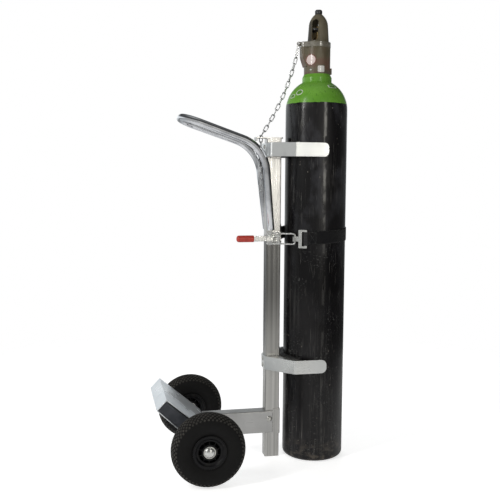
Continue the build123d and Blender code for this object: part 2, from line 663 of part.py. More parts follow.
def bottle_solid(radius, base_r, base_z, base_rise, neck_r, neck_top):
    """Straight wall, hemispherical shoulder and neck over a pushed-in base."""
    corner = radius - base_r
    shoulder = axis_arc((radius, BOTTLE_STRAIGHT_TOP), BOTTLE_STRAIGHT_TOP, neck_r)
    dish_z = base_z + (base_rise ** 2 - base_r ** 2) / (2 * base_rise)
    dish = axis_arc((base_r, base_z), dish_z, 0)
    round_off = ThreePointArc((radius, base_z + corner),
                              (base_r + corner * math.sin(math.pi / 4),
                               base_z + corner * (1 - math.cos(math.pi / 4))), (base_r, base_z))
    section = make_face(Curve() + [
        Line((0, base_z + base_rise), (0, neck_top)),
        Line((0, neck_top), (neck_r, neck_top)),
        Line((neck_r, neck_top), shoulder @ 1),
        shoulder,
        Line((radius, BOTTLE_STRAIGHT_TOP), (radius, base_z + corner)),
        round_off,
        dish,
    ])
    return revolve(Plane.XZ * section, Axis.Z)


def make_bottle():
    """Steel shell with a pushed-in base, a round shoulder and a bored neck."""
    neck_r, bore_r = 40.0, 14.0
    neck_top = NECK_RING_BOTTOM + 30
    outer = bottle_solid(BOTTLE_R, BOTTLE_R - 17, 0, 14, neck_r, neck_top)
    inner_r = BOTTLE_R - BOTTLE_WALL
    inner = bottle_solid(inner_r, inner_r - 20, 14, 11, bore_r, neck_top + 10)
    parts["bottle_shell"] = Pos(BOTTLE_X, 0, 0) * (outer - inner)
    ring = turned([(neck_r + 0.1, NECK_RING_BOTTOM), (NECK_RING_R, NECK_RING_BOTTOM),
                   (NECK_RING_R, NECK_RING_BOTTOM + 22), (NECK_RING_R - 6, GUARD_BOTTOM),
                   (neck_r + 0.1, GUARD_BOTTOM)], (BOTTLE_X, 0, 0))
    parts["neck_ring"] = ring - Pos(BOTTLE_X, 0, 0) * outer


def make_valve():
    """Brass valve in the bottle's neck with its outlet under the guard's snout."""
    base = NECK_RING_BOTTOM + 30
    block_top, stem_top = base + 106, base + 126
    outlet_z = base + 88
    body = block((BOTTLE_X - 15, BOTTLE_X + 15), (-15, 15), (base, block_top))
    body = fillet(body.edges().filter_by(Axis.Z), 3.0)
    body += rod((BOTTLE_X, 0, base - 22), (BOTTLE_X, 0, base + 1), 13.9)
    body += rod((BOTTLE_X, 0, block_top - 1), (BOTTLE_X, 0, stem_top), 11.0)
    body += rod((BOTTLE_X - 40, 0, outlet_z), (BOTTLE_X - 10, 0, outlet_z), 12.0)
    body -= rod((BOTTLE_X - 41, 0, outlet_z), (BOTTLE_X - 22, 0, outlet_z), 5.0)
    body -= rod((BOTTLE_X, 0, base + 60), (BOTTLE_X, 0, stem_top + 1), 6.0)
    parts["valve_body"] = body
    cap = rod((BOTTLE_X - 54, 0, outlet_z), (BOTTLE_X - 28, 0, outlet_z), 15.0)
    cap -= rod((BOTTLE_X - 50, 0, outlet_z), (BOTTLE_X - 27, 0, outlet_z), 12.05)
    parts["outlet_cap"] = cap
    nut = hexagon((BOTTLE_X, 0, stem_top), (0, 0, 1), 24.0, 12.0)
    parts["packing_nut"] = nut - rod((BOTTLE_X, 0, stem_top - 1), (BOTTLE_X, 0, stem_top + 13), 6.0)
    spindle = rod((BOTTLE_X, 0, base + 62), (BOTTLE_X, 0, WHEEL_VALVE_Z + 12), 6.0 - RUNNING)
    parts["valve_spindle"] = spindle
    rim = Pos(BOTTLE_X, 0, WHEEL_VALVE_Z) * Torus(24.0, 4.5)
    hub = rod((BOTTLE_X, 0, WHEEL_VALVE_Z - 6), (BOTTLE_X, 0, WHEEL_VALVE_Z + 7), 10.0)
    wheel = rim + hub
    for k in range(4):
        arm = unit(90 * k + 45) * 23.0
        wheel += rod((BOTTLE_X, 0, WHEEL_VALVE_Z), (BOTTLE_X + arm.X, arm.Y, WHEEL_VALVE_Z), 3.5)
    parts["handwheel"] = wheel - spindle


def make_guard():
    """Valve guard: split collar, cup with a snout over the outlet, hood and lifting knob."""
    wall, cup_r = 4.0, GUARD_R
    collar_top, ledge = 1466.0, 1554.0
    snout_x, snout_half = GUARD_FRONT, 22.0
    collar = pipe((GUARD_X, 0, GUARD_BOTTOM), (GUARD_X, 0, collar_top), cup_r, cup_r - wall)
    collar += block((GUARD_X + cup_r - 3, GUARD_X + cup_r + 5), (-12, 12), (1440, 1462))
    collar = collar - rod((GUARD_X, 0, 1430), (GUARD_X, 0, 1490), cup_r - wall)
    parts["guard_collar"] = collar

    def cup_solid(inset):
        body = rod((GUARD_X, 0, collar_top - inset * 2), (GUARD_X, 0, ledge - inset), cup_r - inset)
        side = [(GUARD_X, collar_top), (GUARD_X - cup_r + inset, collar_top),
                (BOTTLE_X - 61.5 + inset, 1500), (snout_x + inset, 1520),
                (snout_x + inset, ledge - inset), (GUARD_X, ledge - inset)]
        snout = prism(side, Plane.XZ, 2 * (snout_half - inset))
        rim = snout.edges().group_by(Axis.X)[0].filter_by(Axis.Z)
        snout = fillet(rim, 12.0 - inset)
        return body + snout

    cup = cup_solid(0) - cup_solid(wall)
    hood_r, hood_top_r, hood_mid, hood_top = 39.5, 35.0, 1618.0, 1655.5
    opening = rod((HOOD_X, 0, ledge - 9), (HOOD_X, 0, ledge + 9), hood_r - 3.0)
    parts["guard_cup"] = cup - opening

    def hood_face(inset):
        knob_r = 14.0
        return make_face(Curve() + [
            Line((0, ledge - inset), (hood_r - inset, ledge - inset)),
            Line((hood_r - inset, ledge - inset), (hood_top_r - inset, hood_mid)),
            ThreePointArc((hood_top_r - inset, hood_mid), (hood_top_r * 0.8 - inset, hood_mid + 20.5),
                          (knob_r, hood_top - inset)),
            Line((knob_r, hood_top - inset), (0, hood_top - inset)),
            Line((0, hood_top - inset), (0, ledge - inset)),
        ])

    hood = revolve(Plane.XZ * (hood_face(0) - hood_face(3.0)), Axis.Z)
    hood = Pos(HOOD_X, 0, 0) * hood
    window = block((12, 60), (-12.5, 12.5), (ledge + 5, 1635))
    window = fillet(window.edges().filter_by(Axis.X), 11.0)
    for turn in (WINDOW_TURN, WINDOW_TURN + 180):
        hood -= Pos(HOOD_X, 0, 0) * Rot(Z=turn) * window
    parts["guard_hood"] = hood
    knob = turned([(0, hood_top), (12.0, hood_top), (13.5, hood_top + 3), (13.5, hood_top + 13),
                   (10.5, hood_top + 17), (0, hood_top + 17)], (HOOD_X, 0, 0))
    parts["guard_knob"] = knob
    screws = []
    for angle in (-134.5, 134.5):
        d = unit(angle)
        seat = Vector(GUARD_X, 0, 1453) + Vector(d.X, d.Y, 0) * (cup_r - 0.4)
        plane = Plane(origin=seat, z_dir=(d.X, d.Y, 0))
        screws.append(plane * dome_head(5.0, 3.0) - collar)
    parts["guard_screws"] = Compound(screws)


def make_guard_eye(hole):
    """Lug on the guard's snout that the snap hook passes through."""
    eye = block((hole.X, GUARD_FRONT + 1), (-1.3, 1.3), (hole.Z - 7, hole.Z + 7))
    eye += Pos(hole.X, 0, hole.Z) * Rot(X=90) * Cylinder(7.0, 2.6)
    eye -= Pos(hole.X, 0, hole.Z) * Rot(X=90) * Cylinder(4.4, 8.0)
    parts["guard_eye"] = eye - block((GUARD_FRONT, BOTTLE_X), (-9, 9), (1500, 1600))


def main():
    make_post()
    make_keyhole_plate()
    make_axle_box()
    make_arm()
    make_axle()
    make_wheel(-1, "near")
    make_wheel(1, "far")
    make_handle()
    make_brackets()
    make_saddles()
    make_clamp_base()
    make_lever()
    make_clamp_hook()
    make_strap(make_catch_plate())
    make_chain()
    pivot, flat, hole = make_snap_hook()
    make_bottle()
    make_valve()
    make_guard()
    make_guard_eye(hole)
    os.makedirs("parts", exist_ok=True)
    for name, shape in parts.items():
        export_step(shape, f"parts/{name}.step")
    print("lever pivot", PIVOT.X, PIVOT.Y, "trunnion", TRUNNION.X, TRUNNION.Y)
    print("gate pivot", tuple(pivot), "axis", tuple(flat))
    print("bottle", BOTTLE_X, "post", POST_X, "axle", AXLE_X)


main()
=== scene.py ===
"""Welding gas trolley: finishes, tyre treads, webbing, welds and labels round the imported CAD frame.

Everything is in metres in the CAD's own frame: +X towards the bottle, +Z up, -Y the clamp's side.
"""

import json
import math
import random

import bpy
import numpy as np
from mathutils import Matrix, Vector


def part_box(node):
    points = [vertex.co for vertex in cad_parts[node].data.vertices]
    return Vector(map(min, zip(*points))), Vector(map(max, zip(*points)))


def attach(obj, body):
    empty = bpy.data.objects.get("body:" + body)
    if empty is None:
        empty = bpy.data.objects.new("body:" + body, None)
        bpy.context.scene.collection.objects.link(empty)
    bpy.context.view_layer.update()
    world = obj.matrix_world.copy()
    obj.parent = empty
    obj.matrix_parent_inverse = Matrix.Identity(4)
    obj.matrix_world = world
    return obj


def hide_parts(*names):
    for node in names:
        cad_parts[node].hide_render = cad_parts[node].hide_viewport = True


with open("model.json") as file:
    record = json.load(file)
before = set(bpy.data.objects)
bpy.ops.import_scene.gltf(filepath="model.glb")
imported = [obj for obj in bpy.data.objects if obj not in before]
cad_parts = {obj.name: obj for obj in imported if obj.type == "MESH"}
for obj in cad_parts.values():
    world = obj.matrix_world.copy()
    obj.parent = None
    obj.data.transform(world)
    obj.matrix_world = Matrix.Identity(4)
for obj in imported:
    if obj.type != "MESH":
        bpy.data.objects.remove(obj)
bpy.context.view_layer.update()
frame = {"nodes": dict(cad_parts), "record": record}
nodes = frame["nodes"]
rng = random.Random(7)

# ---------------------------------------------------------------- places read from the CAD frame
BOTTLE_LOW, BOTTLE_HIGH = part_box("bottle_shell")
BOTTLE = (BOTTLE_LOW + BOTTLE_HIGH) / 2
BOTTLE_R = (BOTTLE_HIGH.x - BOTTLE_LOW.x) / 2
POST_LOW, POST_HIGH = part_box("post_tube")
STRAP_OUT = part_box("strap")[1].x
CUP_LOW, CUP_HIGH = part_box("guard_cup")
HOOD_LOW, HOOD_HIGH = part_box("guard_hood")
COLLAR_LOW, COLLAR_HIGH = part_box("guard_collar")
CUP_R = COLLAR_HIGH.y
HOOD_X = (HOOD_LOW.x + HOOD_HIGH.x) / 2
HOOD_FLOOR, HOOD_CEILING = 1.556, 1.618    # the hood's straight inner wall runs between these heights
SNOUT_HALF = 0.022             # half the width of the guard's snout
SHOULDER_Z = 1.308             # centre of the bottle's round shoulder
GREEN_Z = 1.3285               # the green paint ends here


# ---------------------------------------------------------------- shader nodes and materials
class Nodes:
    """Short ways to add nodes to one shader tree; where names the coordinates its patterns use."""

    def __init__(self, tree, where):
        self.tree = tree
        tree.nodes.clear()
        self.where = self.add("ShaderNodeTexCoord").outputs[where]

    def add(self, kind, **props):
        node = self.tree.nodes.new(kind)
        for key, value in props.items():
            setattr(node, key, value)
        return node

    def feed(self, socket, value):
        if isinstance(value, bpy.types.NodeSocket):
            self.tree.links.new(value, socket)
        elif value is not None:
            socket.default_value = value

    def span(self, value, low, high, to_low=0.0, to_high=1.0):
        node = self.add("ShaderNodeMapRange", interpolation_type="SMOOTHSTEP")
        self.feed(node.inputs["Value"], value)
        node.inputs["From Min"].default_value = low
        node.inputs["From Max"].default_value = high
        node.inputs["To Min"].default_value = to_low
        node.inputs["To Max"].default_value = to_high
        return node.outputs[0]

    def math(self, operation, *values):
        node = self.add("ShaderNodeMath", operation=operation)
        for socket, value in zip(node.inputs, values):
            self.feed(socket, value)
        return node.outputs[0]

    def times(self, a, b):
        return self.math("MULTIPLY", a, b)

    def plus(self, a, b):
        return self.math("ADD", a, b)

    def minus(self, a, b):
        return self.math("SUBTRACT", a, b)

    def mix(self, amount, a, b):
        node = self.add("ShaderNodeMix", data_type="RGBA")
        self.feed(node.inputs[0], amount)
        for socket, value in ((node.inputs[6], a), (node.inputs[7], b)):
            self.feed(socket, (*value, 1.0) if isinstance(value, tuple) else value)
        return node.outputs[2]

    def axis(self, index, source=None):
        node = self.add("ShaderNodeSeparateXYZ")
        self.feed(node.inputs[0], source or self.where)
        return node.outputs[index]


class Look(Nodes):
    """One node material: a Principled shader fed by procedural patterns in object space."""

    def __init__(self, name, rough=0.5, metal=0.0, **numbers):
        self.material = bpy.data.materials.new(name)
        self.material.use_nodes = True
        super().__init__(self.material.node_tree, "Object")
        self.out = self.add("ShaderNodeOutputMaterial").inputs["Surface"]
        self.shader = self.add("ShaderNodeBsdfPrincipled")
        self.feed(self.out, self.shader.outputs[0])
        self.set("Roughness", rough)
        self.set("Metallic", metal)
        for key, value in numbers.items():
            self.set(key.replace("_", " "), value)
        self.normal = None

    def set(self, name, value):
        self.feed(self.shader.inputs[name], value)

    def place(self, stretch=(1, 1, 1), turn=(0, 0, 0), source=None):
        node = self.add("ShaderNodeMapping")
        self.feed(node.inputs["Vector"], source or self.where)
        node.inputs["Scale"].default_value = stretch
        node.inputs["Rotation"].default_value = turn
        return node.outputs[0]

    def noise(self, stretch, low=0.35, high=0.65, detail=3.0, turn=(0, 0, 0), source=None):
        node = self.add("ShaderNodeTexNoise")
        node.inputs["Scale"].default_value = 1.0
        node.inputs["Detail"].default_value = detail
        self.feed(node.inputs["Vector"], self.place(stretch, turn, source))
        return self.span(node.outputs["Fac"], low, high)

    def cells(self, scale):
        node = self.add("ShaderNodeTexVoronoi")
        node.inputs["Scale"].default_value = scale
        self.feed(node.inputs["Vector"], self.where)
        return node.outputs["Color"]

    def colour(self, value):
        self.set("Base Color", (*value, 1.0) if isinstance(value, tuple) else value)

    def bump(self, height, distance, strength=1.0):
        node = self.add("ShaderNodeBump")
        node.inputs["Distance"].default_value = distance
        node.inputs["Strength"].default_value = strength
        self.feed(node.inputs["Height"], height)
        if self.normal is not None:
            self.tree.links.new(self.normal, node.inputs["Normal"])
        self.normal = node.outputs[0]
        self.set("Normal", self.normal)

    def soften(self, radius):
        """Rounds hard edges in shading and returns how near an edge each point is."""
        bevel = self.add("ShaderNodeBevel", samples=4)
        bevel.inputs["Radius"].default_value = radius
        self.normal = bevel.outputs[0]
        self.set("Normal", self.normal)
        geometry = self.add("ShaderNodeNewGeometry")
        dot = self.add("ShaderNodeVectorMath", operation="DOT_PRODUCT")
        self.tree.links.new(self.normal, dot.inputs[0])
        self.tree.links.new(geometry.outputs["Normal"], dot.inputs[1])
        return self.span(dot.outputs["Value"], 0.99, 0.80)


def galvanised(name, pale, grey, rough, metal=0.85, spangle=0.25, lines=(30, 30, 900), edge=0.0012,
               shaded_below=None, dents=0.00006):
    """Zinc coating: faint crystal cells, drawing lines, cloudy stains and brighter worn edges.

    shaded_below is the height below which painted shade darkens the zinc in long streaks.
    """
    m = Look(name, metal=metal)
    rim = m.soften(edge)
    crystal = m.times(m.axis(0, m.cells(95.0)), spangle)
    cloud = m.noise((7, 7, 5), 0.30, 0.70, 4.0)
    drawn = m.noise(lines, 0.3, 0.7, 2.0)
    tone = m.plus(m.times(cloud, 0.6), crystal)
    base = m.mix(tone, pale, grey)
    stain = m.noise((26, 26, 14), 0.60, 0.74, 5.0)
    base = m.mix(m.times(stain, 0.22), base, tuple(c * 0.62 for c in grey))
    # Painted shade: below the given height the zinc is darkened in long vertical streaks, most towards that
    # height and least below about 0.32 m.
    if shaded_below:
        below = m.span(m.axis(2), shaded_below + 0.004, shaded_below - 0.004)
        streaks = m.noise((95, 95, 0.8), 0.34, 0.64, 2.0)
        dark = m.mix(streaks, tuple(c * 0.22 for c in grey), tuple(c * 0.44 for c in grey))
        mild = m.mix(streaks, tuple(c * 0.80 for c in grey), tuple(c * 1.10 for c in grey))
        dark = m.mix(m.span(m.axis(2), 0.32, 0.66), mild, dark)
        base = m.mix(below, base, dark)
    base = m.mix(m.times(rim, 0.5), base, tuple(min(1.0, c * 1.25) for c in pale))
    m.colour(base)
    worn = m.plus(m.times(drawn, 0.10), m.times(cloud, 0.12))
    m.set("Roughness", m.plus(worn, rough - 0.08))
    m.bump(drawn, 0.00002, 0.10)
    if dents:
        m.bump(m.noise((16, 16, 9), 0.2, 0.8, 2.0), dents, 0.15)
    return m


def make_looks():
    """Every finish, by the material slot or the one CAD node that it is for."""
    looks = {}

    looks["galvanised_frame"] = galvanised(
        "galvanised_steel", (0.67, 0.66, 0.64), (0.54, 0.535, 0.52), 0.30, 0.85, 0.15, (400, 400, 3),
        shaded_below=0.845)
    looks["arm_tube"] = galvanised(
        "arm_zinc", (0.54, 0.54, 0.535), (0.43, 0.43, 0.43), 0.32, 0.70, 0.12, (3, 200, 200))
    looks["upper_bracket"] = looks["lower_bracket"] = galvanised(
        "bracket_zinc", (0.82, 0.83, 0.82), (0.71, 0.73, 0.74), 0.30, 0.85, 0.08, (4, 300, 300))
    looks["galvanised_box"] = galvanised(
        "galvanised_sheet", (0.94, 0.97, 1.0), (0.82, 0.88, 0.93), 0.24, 0.45, 0.05, (10, 2, 10), dents=0.0)
    looks["bright_zinc"] = galvanised(
        "bright_zinc", (0.86, 0.86, 0.84), (0.62, 0.63, 0.64), 0.26, 0.95, 0.1, (500, 60, 60), 0.0007)
    looks["steel_fasteners"] = galvanised(
        "zinc_fasteners", (0.72, 0.71, 0.66), (0.48, 0.48, 0.47), 0.30, 0.9, 0.1, (400, 400, 400), 0.0006)

    m = Look("chrome_tube", metal=1.0)
    haze = m.noise((22, 22, 22), 0.40, 0.75, 4.0)
    m.colour(m.mix(haze, (0.76, 0.77, 0.80), (0.54, 0.55, 0.58)))
    m.set("Roughness", m.span(haze, 0, 1, 0.15, 0.24))
    m.bump(m.noise((40, 40, 40), 0.2, 0.8, 1.0), 0.00003, 0.2)
    looks["chrome_tube"] = m

    m = Look("chain_wire", metal=0.9, rough=0.3)
    # Painted shade where the links meet, from a short occlusion reach, plus grime from noise.
    nook = m.add("ShaderNodeAmbientOcclusion", samples=6)
    nook.inputs["Distance"].default_value = 0.004
    deep = m.span(nook.outputs["AO"], 0.85, 0.35)
    shade_and_grime = m.plus(deep, m.times(m.noise((90, 90, 90)), 0.25))
    m.colour(m.mix(shade_and_grime, (0.62, 0.63, 0.64), (0.055, 0.055, 0.057)))
    m.bump(m.noise((500, 500, 500)), 0.00004, 0.4)
    looks["chain_taut"] = looks["chain_tail"] = m

    m = Look("saddle_rubber", Specular_IOR_Level=0.35)
    m.colour(m.mix(m.noise((50, 50, 30)), (0.018, 0.018, 0.019), (0.045, 0.044, 0.043)))
    m.set("Roughness", m.span(m.noise((80, 80, 80)), 0, 1, 0.5, 0.75))
    m.bump(m.noise((900, 900, 900), 0.3, 0.7, 2.0), 0.0002, 0.6)
    looks["rubber_saddle"] = m

    m = Look("wheel_hub_plastic", Specular_IOR_Level=0.2)
    rim = m.soften(0.0008)
    dust = m.noise((45, 45, 45), 0.50, 0.75, 5.0)
    base = m.mix(dust, (0.005, 0.005, 0.006), (0.018, 0.017, 0.016))
    m.colour(m.mix(m.times(rim, 0.3), base, (0.09, 0.09, 0.09)))
    m.set("Roughness", m.span(dust, 0, 1, 0.36, 0.62))
    m.bump(m.noise((1200, 1200, 1200), 0.3, 0.7, 1.0), 0.00008, 0.5)
    looks["wheel_hub"] = m

    m = Look("moulded_cap_plastic", Specular_IOR_Level=0.4)
    rim = m.soften(0.0008)
    base = m.mix(m.noise((30, 30, 30)), (0.055, 0.06, 0.072), (0.085, 0.09, 0.105))
    m.colour(m.mix(m.times(rim, 0.5), base, (0.30, 0.31, 0.33)))
    m.set("Roughness", m.span(m.noise((60, 60, 60)), 0, 1, 0.45, 0.62))
    m.bump(m.noise((1500, 1500, 1500), 0.3, 0.7, 1.0), 0.00008, 0.5)
    looks["cap_plastic"] = m

    m = Look("red_vinyl", Subsurface_Weight=0.05, Coat_Weight=0.15)
    grime = m.noise((70, 40, 70), 0.52, 0.75, 5.0)
    m.colour(m.mix(m.times(grime, 0.45), (0.62, 0.055, 0.035), (0.30, 0.035, 0.025)))
    m.set("Roughness", m.span(grime, 0, 1, 0.36, 0.58))
    m.bump(m.noise((30, 500, 500), 0.3, 0.7, 2.0), 0.00012, 0.5)
    looks["red_vinyl"] = m

    m = Look("guard_plastic", Specular_IOR_Level=0.35)
    rim = m.soften(0.0010)
    cloud = m.noise((28, 28, 14), 0.30, 0.70, 5.0)
    base = m.mix(cloud, (0.120, 0.100, 0.062), (0.185, 0.160, 0.108))
    red = m.noise((20, 20, 26), 0.45, 0.62, 3.0)
    low = m.span(m.axis(2), 1.545, 1.47)
    base = m.mix(m.times(m.times(red, low), 0.75), base, (0.185, 0.095, 0.070))
    scratch = m.noise((25, 25, 900), 0.66, 0.70, 2.0, (0.5, 0.3, 0.2))
    base = m.mix(m.times(scratch, 0.4), base, (0.22, 0.20, 0.17))
    # The hood is paler on its inner wall, which is a cone between two heights, as painted light, and darker
    # on its flanks, as painted shade.
    away = m.math("POWER", m.minus(m.axis(0), HOOD_X), 2.0)
    away = m.math("SQRT", m.plus(away, m.math("POWER", m.axis(1), 2.0)))
    wall = m.span(m.axis(2), HOOD_FLOOR - 0.002, HOOD_CEILING, 0.0378, 0.0332)
    inside = m.span(m.minus(wall, away), -0.0004, 0.0002)
    inside = m.times(inside, m.span(m.axis(2), HOOD_FLOOR, HOOD_FLOOR + 0.002))
    inside = m.times(inside, m.span(m.axis(2), HOOD_CEILING, HOOD_CEILING - 0.002))
    base = m.mix(inside, base, (0.66, 0.56, 0.37))
    flank = m.span(m.math("ABSOLUTE", m.minus(m.axis(0), HOOD_X)), 0.0255, 0.0350, 0.0, 0.85)
    flank = m.times(flank, m.span(m.axis(2), 1.555, 1.560))
    base = m.mix(flank, base, (0.030, 0.027, 0.020))
    m.colour(m.mix(m.times(rim, 0.6), base, (0.24, 0.22, 0.18)))
    m.set("Roughness", m.span(cloud, 0, 1, 0.34, 0.52))
    m.bump(m.noise((500, 500, 500), 0.3, 0.7, 2.0), 0.00012, 0.5)
    looks["guard_plastic"] = m

    m = Look("polished_edge", Coat_Weight=1.0, Coat_Roughness=0.16, Coat_IOR=1.9)
    m.colour(m.mix(m.noise((60, 60, 40), 0.3, 0.7, 4.0), (0.120, 0.105, 0.072), (0.200, 0.180, 0.135)))
    m.set("Roughness", m.span(m.noise((90, 90, 200)), 0, 1, 0.18, 0.34))
    m.bump(m.noise((30, 30, 400), 0.3, 0.7, 2.0), 0.00008, 0.4)
    looks["guard_edge_band"] = m

    m = Look("valve_brass", metal=1.0)
    tarnish = m.noise((60, 60, 60), 0.4, 0.7, 5.0)
    m.colour(m.mix(tarnish, (0.74, 0.56, 0.27), (0.36, 0.25, 0.12)))
    m.set("Roughness", m.span(tarnish, 0, 1, 0.24, 0.5))
    m.bump(m.noise((400, 400, 400)), 0.0001, 0.4)
    looks["valve_brass"] = m

    m = Look("black_moulding", Coat_Weight=0.2)
    rim = m.soften(0.0008)
    base = m.mix(m.noise((90, 90, 90)), (0.014, 0.014, 0.015), (0.035, 0.034, 0.033))
    m.colour(m.mix(m.times(rim, 0.5), base, (0.12, 0.12, 0.12)))
    m.set("Roughness", m.span(m.noise((60, 60, 60)), 0, 1, 0.28, 0.5))
    looks["valve_black"] = m

    looks["rubber_tyre"] = tread_rubber()
    looks["strap_webbing"] = folded_webbing()
    looks["bottle_paint"] = bottle_paint("bottle_paint")
    looks["shoulder_paint"] = bottle_paint("shoulder_paint")
    return looks


def folded_webbing():
    """Webbing seen where it folds round a bar: a fine rib along the loop's height."""
    m = Look("folded_webbing", Sheen_Weight=0.4, Sheen_Roughness=0.5, Specular_IOR_Level=0.2)
    node = m.add("ShaderNodeTexWave", wave_type="BANDS", bands_direction="Z")
    node.inputs["Scale"].default_value = 55.0
    node.inputs["Distortion"].default_value = 0.6
    m.feed(node.inputs["Vector"], m.where)
    rib = node.outputs["Fac"]
    m.colour(m.mix(rib, (0.014, 0.014, 0.015), (0.042, 0.042, 0.045)))
    m.set("Roughness", 0.8)
    m.bump(rib, 0.0006, 0.8)
    m.bump(m.noise((1500, 1500, 1500)), 0.0002, 0.6)
    return m


def bottle_paint(name):
    """Black gloss paint below the green shoulder, scuffed, streaked and chipped by use."""
    m = Look(name, Specular_IOR_Level=0.30)
    height = m.axis(2)
    ragged = m.times(m.noise((60, 60, 60), 0.3, 0.7, 3.0), 0.0016)
    is_green = m.span(m.minus(height, ragged), GREEN_Z - 0.0012, GREEN_Z - 0.0004)

    cloud = m.noise((9, 9, 3.5), 0.36, 0.66, 6.0)
    streak = m.noise((75, 75, 2.2), 0.50, 0.72, 4.0)
    fine = m.noise((260, 260, 5), 0.56, 0.70, 3.0)
    patch = m.noise((7, 7, 4), 0.46, 0.62, 3.0)
    black = m.mix(m.times(cloud, 0.8), (0.0035, 0.0030, 0.0036), (0.0105, 0.0095, 0.0105))
    drips = m.times(m.times(streak, patch), 0.36)
    black = m.mix(drips, black, (0.070, 0.066, 0.062))
    scuffed = m.times(m.noise((16, 16, 9), 0.50, 0.66, 6.0), m.span(height, 0.60, 1.20, 0.15, 1.0))
    black = m.mix(m.times(scuffed, 0.65), black, (0.050, 0.050, 0.058))
    black = m.mix(m.times(m.times(fine, patch), 0.14), black, (0.17, 0.165, 0.155))
    lower = m.span(height, 0.90, 0.70, 0.0, 1.0)
    scribble = m.noise((130, 130, 210), 0.60, 0.66, 4.0)
    scribble = m.times(scribble, m.noise((13, 13, 10), 0.47, 0.60, 3.0))
    black = m.mix(m.times(m.times(scribble, lower), 0.45), black, (0.16, 0.16, 0.155))
    for turn, amount in (((0.15, 0.1, 0.0), 0.30), ((1.35, 0.2, 0.4), 0.36), ((0.7, 0.5, 1.2), 0.34)):
        hair = m.noise((520, 520, 9), 0.675, 0.70, 1.5, turn)
        where = m.noise((11, 11, 8), 0.50, 0.60, 2.0, turn)
        black = m.mix(m.times(m.times(hair, where), amount), black, (0.30, 0.29, 0.27))
    chip = m.times(m.noise((120, 120, 70), 0.685, 0.70, 4.0), m.noise((6, 6, 5), 0.50, 0.60, 2.0))
    black = m.mix(m.times(chip, 0.7), black, (0.24, 0.215, 0.185))
    # A pale line down the clamp's side: a painted highlight, which strengthens the light's highlight there.
    off_front = m.math("ABSOLUTE", m.minus(m.axis(0), BOTTLE.x + 0.001))
    painted_highlight = m.times(m.span(off_front, 0.0075, 0.0015), m.span(m.axis(1), 0.0, -0.05))
    painted_highlight = m.times(painted_highlight, m.noise((30, 30, 16), 0.44, 0.60, 5.0))
    painted_highlight = m.times(painted_highlight, m.span(height, 0.72, 1.25, 0.10, 0.80))
    black = m.mix(painted_highlight, black, (0.34, 0.33, 0.31))
    foot = m.span(height, 0.10, 0.0)
    black = m.mix(m.times(foot, m.noise((40, 40, 60), 0.45, 0.7, 4.0)), black, (0.10, 0.085, 0.07))

    leaf = m.mix(m.noise((14, 14, 18), 0.3, 0.7, 4.0), (0.145, 0.385, 0.038), (0.200, 0.480, 0.060))
    leaf = m.mix(m.times(m.noise((160, 160, 40), 0.62, 0.70, 3.0), 0.5), leaf, (0.045, 0.13, 0.02))
    leaf = m.mix(m.times(chip, 0.5), leaf, (0.35, 0.42, 0.26))
    m.colour(m.mix(is_green, black, leaf))

    dull = m.plus(m.times(cloud, 0.20), m.times(streak, 0.16))
    m.set("Roughness", m.plus(dull, 0.17))
    m.bump(m.noise((14, 14, 5), 0.2, 0.8, 3.0), 0.0008, 0.35)
    m.bump(m.noise((420, 420, 420), 0.3, 0.7, 2.0), 0.00003, 0.25)
    return m


def tread_rubber():
    """Tyre rubber: near black in the grooves, dusty brown-grey on the worn block tops."""
    m = Look("tyre_rubber", Specular_IOR_Level=0.15)
    attribute = m.add("ShaderNodeAttribute", attribute_name="wear")
    wear = attribute.outputs["Fac"]
    dust = m.noise((60, 60, 60), 0.35, 0.70, 5.0)
    side = m.mix(m.times(dust, 0.5), (0.0080, 0.0078, 0.0080), (0.0150, 0.0145, 0.0140))
    top = m.mix(dust, (0.044, 0.042, 0.039), (0.078, 0.073, 0.067))
    groove = m.span(wear, 0.25, 0.0)
    base = m.mix(m.span(wear, 0.55, 1.0), side, top)
    m.colour(m.mix(groove, base, (0.014, 0.014, 0.014)))
    m.set("Roughness", m.span(dust, 0, 1, 0.58, 0.80))
    m.bump(m.noise((700, 700, 700), 0.3, 0.7, 3.0), 0.00018, 0.6)
    return m


def woven_webbing():
    """Polyester webbing: chevron ribs running along the strap, read from its own UV in metres."""
    m = Look("strap_webbing", Sheen_Weight=0.12, Sheen_Roughness=0.45, Specular_IOR_Level=0.1)
    uv = m.add("ShaderNodeUVMap", uv_map="length_and_width").outputs[0]
    along, across = m.axis(0, uv), m.axis(1, uv)
    fold = m.math("PINGPONG", across, 0.0045)
    weft = m.math("SINE", m.times(m.plus(along, fold), 2 * math.pi / 0.0018))
    warp = m.math("SINE", m.times(across, 2 * math.pi / 0.0015))
    weave = m.span(m.plus(m.times(weft, 0.6), m.times(warp, 0.4)), -1, 1)
    fuzz = m.noise((900, 900, 900), 0.3, 0.7, 2.0)
    faded = m.noise((14, 14, 14), 0.35, 0.7, 4.0)
    thread = m.mix(weave, (0.005, 0.005, 0.006), (0.018, 0.018, 0.020))
    m.colour(m.mix(m.times(faded, 0.35), thread, (0.026, 0.024, 0.022)))
    m.set("Roughness", 0.82)
    m.bump(weave, 0.0007, 0.8)
    m.bump(fuzz, 0.0002, 0.5)
    return m


def weld_metal():
    m = Look("weld_bead", metal=0.85)
    heat = m.noise((130, 130, 130), 0.35, 0.65, 4.0)
    m.colour(m.mix(heat, (0.66, 0.66, 0.64), (0.40, 0.39, 0.38)))
    m.set("Roughness", m.span(heat, 0, 1, 0.32, 0.55))
    m.bump(m.noise((500, 500, 500)), 0.0002, 0.6)
    return m


